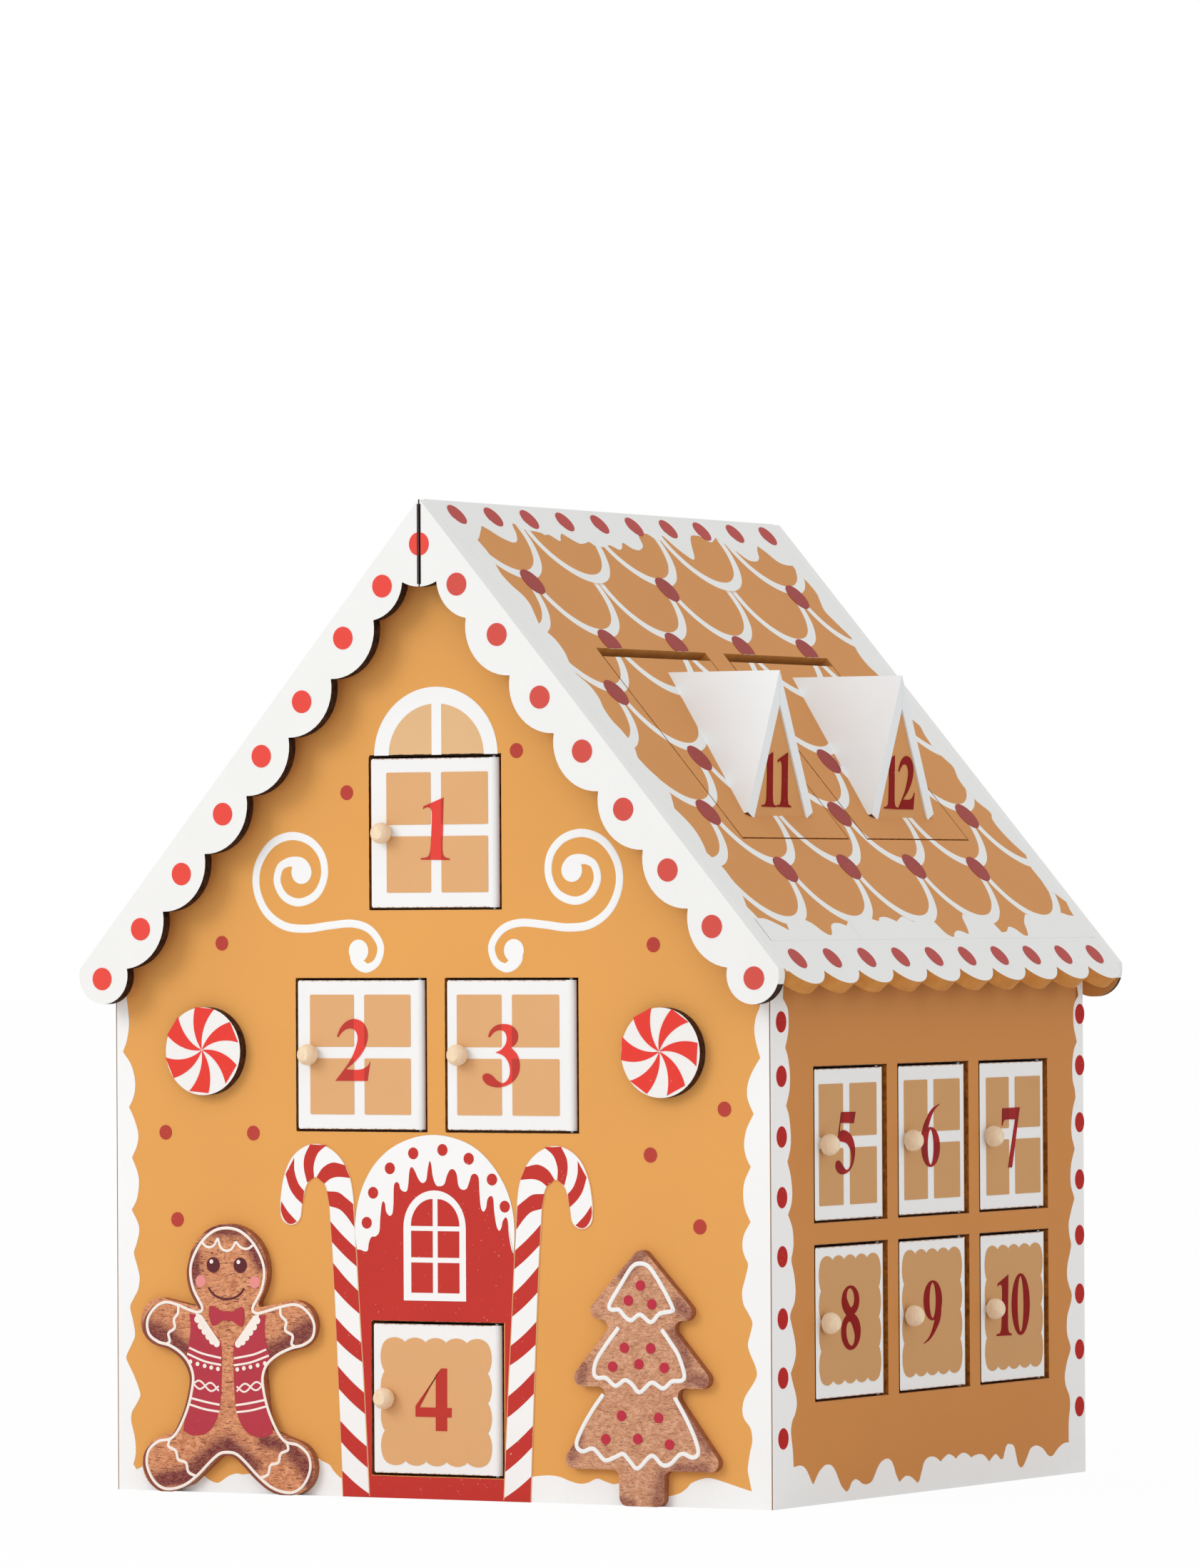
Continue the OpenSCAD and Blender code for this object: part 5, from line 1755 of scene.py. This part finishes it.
man = Paintwork(COOKIE.moved(MAN_X, 0))
for half in both_sides(outline(VEST)):
    man.add(plate(half, FLAT_PRINT), "vest_red")
for stroke in VEST_LINES:
    piped(man, stroke, 0.75, LAYER[1])
beads(man, VEST_BEADS, 0.72, 16, LAYER[1])
t = np.linspace(0, 1, 40)
for sign in (-1, 1):
    wave = 36.1 - 1.4 * t + sign * 1.35 * np.sin(2.2 * np.pi * t)
    for half in both_sides(np.stack([13.4 - 9.9 * t, wave], axis=1)):
        man.add(line(half, 0.65, LAYER[1]), "cookie_icing")
print("strokes on the man so far:", len(man.points))

# %% [markdown]
# The collar, the cuffs and the fringe are piped last, so they lie on top of the vest. The collar
# could be one bumpy outline, but drops laid on a flat base overlap as real icing does.

# %% Collar, cuffs and fringe
COLLAR = [(11.7, 57.5), (10.4, 55.4), (8.9, 53.6), (7.4, 51.9), (5.9, 50.4), (4.2, 49.6)]
COLLAR_EDGE = [
    (12.4, 59.6), (10.2, 59), (2.9, 50), (4, 49.4), (6.4, 50.8), (10.9, 55.8), (12.2, 57.9),
]
CUFFS = [
    [(20, 62), (20.2, 59.4), (22, 57.3), (21.7, 54.5), (24.3, 52.7), (23.9, 50), (25.5, 49)],
    [(23, 17.3), (23.4, 15), (20.6, 13.6), (19.6, 10.7), (16.6, 9.7), (15.6, 6.7), (12.8, 5.4)],
]
FRINGE = [
    [(-10, 83.2), (-7.8, 81.6), (-5.4, 82), (-3.6, 84.6)],
    [(-3.6, 84.6), (-2.4, 81.4), (0, 80.4), (2, 81.3), (3.4, 83.5)],
    [(3.4, 83.5), (5.4, 81.7), (8, 81.2), (11, 83)],
]
beads(man, COLLAR, 1.2, 20, LAYER[2])
for half in both_sides(COLLAR_EDGE):
    man.add(plate(half, LAYER[1]), "cookie_icing")
for stroke in CUFFS:
    piped(man, stroke, 1.0, LAYER[2])
for stroke in FRINGE:
    man.add(line(curve(stroke), 0.85, LAYER[2]), "cookie_icing")
print("strokes on the man so far:", len(man.points))

# %% [markdown]
# One line of icing runs all round the figure. Outside it the baked rim shows, widest down on the
# left. A second outline could say so, but the rim's width follows from the way the edge faces: it
# is 1.1 mm times the cosine between that way and the lower left.

# %% Rim of the man
left_half, right_half = both_sides(HALF_MAN)
rim = curve(np.vstack([right_half, left_half[::-1][1:-1]]), 6, True)
man.add(line(rim, 1.02, 2 * PAINT, loop=True), "cookie_icing")

along = np.roll(rim, -1, axis=0) - np.roll(rim, 1, axis=0)
outward = np.stack([along[:, 1], -along[:, 0]], axis=1) / np.linalg.norm(along, axis=1)[:, None]
if (outward * (rim - rim.mean(axis=0))).sum() < 0:
    outward = -outward
dark = 1.1 * np.clip(outward @ [-0.85, -0.5], 0.02, 1)
inside = rim + outward * 0.5
baked = inside + outward * dark[:, None]
# The figure stands on the floor, so its rim goes no lower
baked[:, 1] = np.maximum(baked[:, 1], 0)
man.add(strip(inside, baked, FLAT_PRINT, loop=True), "biscuit_rim")
print("the icing round the man is", round(np.linalg.norm(along, axis=1).sum() / 2), "mm long")

# %% [markdown]
# The face is printed and not piped: eyes with a white glint, cheeks, a smile and a bow tie. All are
# discs and lines like those above, but only a hair thick.

# %% The man's face
BOW = [
    (-7, 62), (-5.5, 62), (-1.8, 60.3), (0, 60.5), (1.8, 60.2), (5.4, 62), (6.4, 61.5), (6.7, 58.6),
    (6.1, 55.5), (5.1, 55.4), (1.6, 57.4), (0, 57.2), (-1.6, 57.5), (-5, 55.5), (-6.2, 55.7),
    (-7.3, 59),
]
SMILE = [(-7.4, 68.1), (-5.6, 66), (-3, 64.8), (-0.3, 64.4), (2.6, 64.9), (5, 66.2), (6.6, 68.1)]
for side in (-1, 1):
    man.add(plate(circle(side * 5.3 - 0.2, 75.7, 2.6), FLAT_PRINT), "cookie_brown")
    man.add(plate(circle(side * 5.3 - 0.85, 76.8, 0.7, 16), LAYER[1]), "cookie_icing")
    man.add(plate(circle(side * 10.6 + 0.1, 70.2, 2.0), FLAT_PRINT), "cheek_pink")
man.add(line(curve(SMILE), 0.7, LAYER[0]), "cookie_brown")
man.add(plate(BOW, LAYER[2]), "vest_red")
man.done("gingerbread_man_icing", "house", "printed_wood")

# %% [markdown]
# The tree wears three garlands of icing, one closed at the top and two that run from edge to edge,
# with sugar pearls between them. Its garlands are thicker than the man's lines.

# %% The tree's icing
TREE_SHIFT = 1.73
GARLAND_WIDTH = 1.45
GARLAND_TOP = 2.5 * PAINT
TREE_TOP = [
    (76.5, 78.5), (73.4, 77.3), (69.5, 72), (65, 65.2), (65.7, 63.4), (68.5, 63.4), (70.6, 61.3),
    (73, 60.1), (76.3, 62), (80.3, 59.6), (83.6, 62.4), (88, 63.3), (88.3, 64.6), (84.6, 71),
    (80, 77.2),
]
TREE_LINES = [
    [(68.3, 57.7), (63.6, 52), (60, 47), (59, 43), (60.2, 41.3), (63.5, 41.2), (67, 38.8),
     (70.5, 40.7), (73.2, 39.4), (76, 36.9), (80.5, 40.1), (84.7, 38.3), (88, 40.6), (91.6, 41),
     (92.6, 43), (90.5, 49), (87.4, 53.4), (84.3, 57.3)],
    [(62.5, 36), (58.4, 30.8), (54.4, 24.6), (52.3, 19.5), (54.5, 17.3), (58.7, 18.2), (62.8, 14.7),
     (66.4, 15.6), (69.7, 16.8), (72.2, 14.6), (75.2, 12.3), (80.3, 16.5), (84.2, 13.7), (87.2, 14),
     (91.4, 17.4), (95.4, 16.3), (97.6, 17.7), (96.6, 22), (93.4, 28.4), (89, 35.5)],
]
SUGAR = [
    (76.5, 71.4), (72, 66.5), (80.7, 65.4), (70.4, 51.2), (80.2, 51.2), (66, 45), (75.8, 46),
    (85.2, 45), (69.2, 29.2), (83, 28.8), (63.3, 21.5), (75.2, 21.8), (87, 20.3),
]
work = Paintwork(COOKIE.moved(TREE_SHIFT, 0))
work.add(line(curve(TREE_TOP, 6, True), GARLAND_WIDTH, GARLAND_TOP, loop=True), "tree_icing")
for stroke in TREE_LINES:
    work.add(line(curve(stroke), GARLAND_WIDTH, GARLAND_TOP), "tree_icing")
for u, v in SUGAR:
    work.add(plate(circle(u, v, 1.7, 20), LAYER[2]), "sugar_red")
work.done("tree_icing", "house", "printed_wood")

# %% [markdown]
# A peppermint candy has six red blades that bend as they leave the middle. Both sides of a blade
# are spirals: with t the share of the way to the rim, the angle is start + 28 (1 - t) degrees.

# %% The candies' red blades
CANDY_Z = (candies[:, 2].max() + candies[:, 2].min()) / 2
left_x = candies[candies[:, 0] < 0][:, 0]
right_x = candies[candies[:, 0] > 0][:, 0]
# The angle in degrees of each candy's first blade
BLADE_START = (10, -19)
BLADE_REACH = 14.5
BLADE_BEND = 28
work = Paintwork(CANDY)
t = np.linspace(0.02, 1.0, 14)


def spiral(middle, start):
    """One side of a blade, from the middle of the candy to its rim."""
    across = middle - 0.4 + BLADE_REACH * t * np.cos(start)
    return np.stack([across, CANDY_Z + 0.4 + BLADE_REACH * t * np.sin(start)], axis=1)


for xs, first in zip((left_x, right_x), BLADE_START):
    middle = (xs.max() + xs.min()) / 2
    for blade in range(6):
        start = np.radians(first + 60 * blade + BLADE_BEND * (1 - t))
        sides = [spiral(middle, start + more) for more in (0, np.pi / 6)]
        work.add(strip(*sides), "candy_red")
work.done("candy_swirls", "house", "printed_wood")

# %% [markdown]
# ## Borders on the side walls and the back
# The two long sides carry a scalloped white strip at each corner, with a column of red dots, and
# drifts of snow along the foot.

# %% The edges of the side's icing
SIDE_FRONT = [
    (-100.5, 175), (-101.8, 169), (-102.4, 164), CORNER, (-99.4, 161), (-98.7, 158), (-98.8, 154),
    (-99.7, 151), (-101, 148.2), CORNER, (-99.2, 145), (-98, 140), (-98.2, 135), (-99.3, 132),
    (-100.6, 129.5), CORNER, (-98.7, 126), (-97.6, 120), (-97.9, 116), (-99.1, 113), (-100, 111.5),
    CORNER, (-97.9, 107), (-96.9, 102), (-97.4, 98), (-99.7, 94.3), CORNER, (-96.9, 90), (-96.2, 85),
    (-96.9, 82), (-97.7, 79.5), (-95.9, 75), (-95, 70), (-95.8, 66), (-97.8, 63.5), (-98.7, 61.5),
    (-97.8, 59), (-95.7, 54), (-95, 50), (-95.9, 47), (-98, 44), (-98.4, 43), (-97.1, 40),
    (-95.1, 36), (-94.6, 33), (-95.8, 30), (-97.6, 28), (-98.6, 25), (-98.2, 22), (-97.4, 18),
    (-97, 13),
]
SIDE_BACK = [
    (105, 175), (105.6, 169), (107.6, 163), CORNER, (104.4, 160), (103.6, 156), (104, 152),
    (105.3, 149), (106, 147), CORNER, (103.8, 144), (102.6, 139), (102.9, 134), (104.3, 131),
    (104.9, 128), CORNER, (102.8, 124), (101.6, 119), (101.9, 115), (103.3, 112), (104.1, 110.5),
    CORNER, (101.6, 106), (100.8, 102), (101.1, 98), (102.8, 95), (103.6, 93.5), CORNER, (100.9, 89),
    (99.2, 85), (99.8, 81), (100.9, 78), (99.9, 75), (98.1, 71), (97.8, 67), (99.2, 64), (101.1, 61),
    (100.4, 58), (97.9, 54), (97.3, 50), (97.8, 47), (99.6, 44), (99.9, 42), (97.3, 38), (95.7, 34),
    (95.9, 31), (97, 29), (98.9, 26.5), (99.4, 23), (98.4, 18), (98.2, 13), (98.3, 10.7),
]
SIDE_FOOT = [
    (-97, 13), (-95, 13.2), (-92.5, 13.3), (-90, 12.7), (-88, 11.3), (-86, 9), (-84.5, 7.2),
    (-83.5, 6.8), CORNER, (-81, 9.4), (-79, 11), (-76, 12.4), (-73.5, 12.6), (-71, 12), (-68.5, 10),
    (-66.5, 7.3), (-64.5, 5), (-62, 3.4), (-60.5, 3.2), (-59, 4.2), (-57.5, 5.9), (-55, 6.8),
    (-52.5, 6.1), (-50, 5), (-47, 4.7), (-44, 5.3), (-42, 7), (-39.5, 9.8), (-37, 11.5),
    (-33.5, 12.3), (-30.5, 11.6), (-28.5, 9.5), (-27, 6.8), (-25, 4.5), (-24.3, 4.2), (-22, 5.3),
    (-19.5, 5.9), (-16.5, 5.4), (-13.5, 4), (-12, 3.2), (-10.5, 3.9), (-9, 6.5), (-7, 9.7),
    (-4.5, 11), (-2, 11.3), (0, 11.1), (2.5, 10.3), (4.5, 9.2), CORNER, (7, 10.4), (10, 11.4),
    (13, 10.8), (15.5, 9.6), CORNER, (18, 10.8), (21, 11.3), (24, 10.6), (26.5, 9.4), CORNER,
    (29, 10), (33, 10.2), (36, 9.5), (39.5, 7.3), CORNER, (41.5, 8.5), (44, 9.6), (46, 8.8),
    (47.7, 7.7), (49.7, 7.8), CORNER, (50.8, 10), (52.5, 12.2), (55, 12.4), (57.5, 11.5), (59, 8.5),
    (60.5, 5.3), (62.5, 4.1), (64.5, 4.6), (67, 7), (69.5, 9.8), (72.5, 10.8), (75.5, 10.7),
    (79, 9.5), (82, 7.5), (84, 6.7), (86.5, 6.9), (89, 8.4), (92, 9.8), (95, 10.6), (98.3, 10.7),
]
print("points along the foot:", len([point for point in SIDE_FOOT if point is not CORNER]))

# %% [markdown]
# The left wall's borders are the right one's mirror image. Seen from outside, the front corner is
# then on the other hand, so only the sign of each place changes. The borders stop just under the
# eave, where the roof hides them.

# %% Borders of the side walls
STRIP_TOP = 173.0
SIDE_DOT_R = 3.45
SIDE_DOT_HEIGHTS = (156.5, 139, 119.5, 100, 81, 61, 42, 22.5)
for word, board, flip in (("right", RIGHT, 1), ("left", LEFT, -1)):
    work = Paintwork(board)
    for points, end in ((SIDE_FRONT, -HALF_DEPTH), (SIDE_BACK, HALF_DEPTH)):
        path = edge(points)
        border(work, path[path[:, 1] < STRIP_TOP] * [flip, 1], (0, flip * end))
    border(work, edge(SIDE_FOOT) * [flip, 1], (1, 0.0))
    for u0, u1, v in ((-HALF_DEPTH, -97, 13), (98.3, HALF_DEPTH, 10.7)):
        corner = np.array([(u0, 0), (u1, 0), (u1, v), (u0, v)])
        work.add(plate(corner * [flip, 1]), "white_icing")
    for i, v in enumerate(SIDE_DOT_HEIGHTS):
        for u in (-103.7, 108.3 - 0.27 * i):
            work.add(plate(circle(flip * u, v, SIDE_DOT_R), LAYER[1]), "side_dot")
    work.done(f"{word}_wall_borders", "house", "wall_paint")

# %% [markdown]
# The back is dressed like the front without its pictures, so it takes the front's edges, and the
# drift of snow runs on where the doorway would be.

# %% Back borders
MIDDLE_FOOT = [
    (-38, 6.8), (-30, 8.6), (-22, 5.6), (-12, 8.8), (-2, 6.2), (8, 8.4), (17, 5.8), (26, 8.2),
    (35, 8.2),
]
work = Paintwork(BACK)
gable_borders(work, LEFT_WAVE, RIGHT_WAVE, (FOOT_LEFT[:-2] + MIDDLE_FOOT, FOOT_RIGHT))
work.done("back_borders", "house", "gable_paint")

# %% [markdown]
# ## The floor, the light and the camera
# Goods are often shown on a white ground that runs on behind them without a seam. The floor has to
# look white to the camera and still carry a soft shadow, so what the camera sees of it is nearly
# all its own glow, while the house is lit by a plain matt floor.

# %% Stage
FLOOR_GLOW = 0.97


def stage():
    """A wide plane. The camera sees FLOOR_GLOW parts of glow and the rest of matt white, and all
    other rays meet matt white."""
    bench = Bench("studio_floor")
    bpy.ops.mesh.primitive_plane_add(size=30, location=(0, 0, 0))
    floor = bpy.context.object
    floor.name = "floor"
    floor.data.materials.append(bench.material)
    tree = bench.tree
    bench.shader.inputs["Base Color"].default_value = (0.8, 0.8, 0.8, 1)
    bench.shader.inputs["Roughness"].default_value = 0.9
    path = tree.nodes.new("ShaderNodeLightPath")
    glow = tree.nodes.new("ShaderNodeEmission")
    both = tree.nodes.new("ShaderNodeMixShader")
    output = tree.nodes["Material Output"]
    seen = Field(path.outputs["Is Camera Ray"]) * FLOOR_GLOW
    tree.links.new(seen.socket, both.inputs[0])
    tree.links.new(bench.shader.outputs[0], both.inputs[1])
    tree.links.new(glow.outputs[0], both.inputs[2])
    tree.links.new(both.outputs[0], output.inputs["Surface"])
    glow.inputs["Strength"].default_value = 1.0


stage()
print("share of the floor that glows:", FLOOR_GLOW)

# %% [markdown]
# Light comes from the whole bright room, and one large lamp on the left makes the front brighter
# than the side. The lamp is large so that shadows are soft. The room is pure white where the camera
# or a reflection sees it, and a little weaker as light, or pale paint would burn out.

# %% Light
ROOM_LIGHT = 0.85
world = bpy.data.worlds.new("studio")
bpy.context.scene.world = world
world.use_nodes = True
sky = world.node_tree
path = sky.nodes.new("ShaderNodeLightPath")
seen = Field(path.outputs["Is Camera Ray"]).math("MAXIMUM", Field(path.outputs["Is Glossy Ray"]))
strength = seen * (1 - ROOM_LIGHT) + ROOM_LIGHT
sky.links.new(strength.socket, sky.nodes["Background"].inputs["Strength"])
sky.nodes["Background"].inputs["Color"].default_value = (1, 1, 1, 1)


def lamp(name, place, aim, size, power):
    """A square lamp of a size in metres and a power in watts, turned towards aim."""
    light = bpy.data.lights.new(name, "AREA")
    light.size = size
    light.energy = power
    made = bpy.data.objects.new(name, light)
    bpy.context.scene.collection.objects.link(made)
    made.location = place
    direction = Vector(np.array(aim) - np.array(place))
    made.rotation_euler = direction.to_track_quat("-Z", "Y").to_euler()
    return made


key = lamp("key", (-1.3, -2.2, 1.5), (0, 0, 0.15), 1.3, 21)
print("the lamp stands", round(key.location.length, 2), "m away and gives", key.data.energy, "W")

# %% [markdown]
# The camera looks at the corner between front and right side from a few metres away, through a
# long lens, so that upright lines stay nearly parallel. Its place, turn and lens are those for
# which the CAD solid's straight edges fall where the reference shows them.

# %% Camera
YAW, PITCH, ROLL = (math.radians(a) for a in (29.94, 0.84, -0.31))
CAMERA_PLACE = (1.52297, -2.64902, 0.19081)
CAMERA_LENS = 207.04
level = np.array([math.cos(YAW), math.sin(YAW), 0])
ahead = np.array([-math.sin(YAW) * math.cos(PITCH), math.cos(YAW) * math.cos(PITCH), math.sin(PITCH)])
above = np.cross(level, ahead)
right = level * math.cos(ROLL) + above * math.sin(ROLL)
upward = above * math.cos(ROLL) - level * math.sin(ROLL)
camera = bpy.data.objects.new("camera", bpy.data.cameras.new("camera"))
bpy.context.scene.collection.objects.link(camera)
bpy.context.scene.camera = camera
camera.data.sensor_width = 36
camera.data.lens = CAMERA_LENS
camera.data.clip_end = 50
turned = np.column_stack([right, upward, -ahead, CAMERA_PLACE])
camera.matrix_world = Matrix([*turned.tolist(), [0, 0, 0, 1]])
bpy.context.scene.view_settings.view_transform = "Standard"
print("the camera is", round(math.dist(CAMERA_PLACE, (0, 0, 0)), 2), "m away")

# %% [markdown]
# The paint may stand proud of the CAD solids by a hair, and no more.
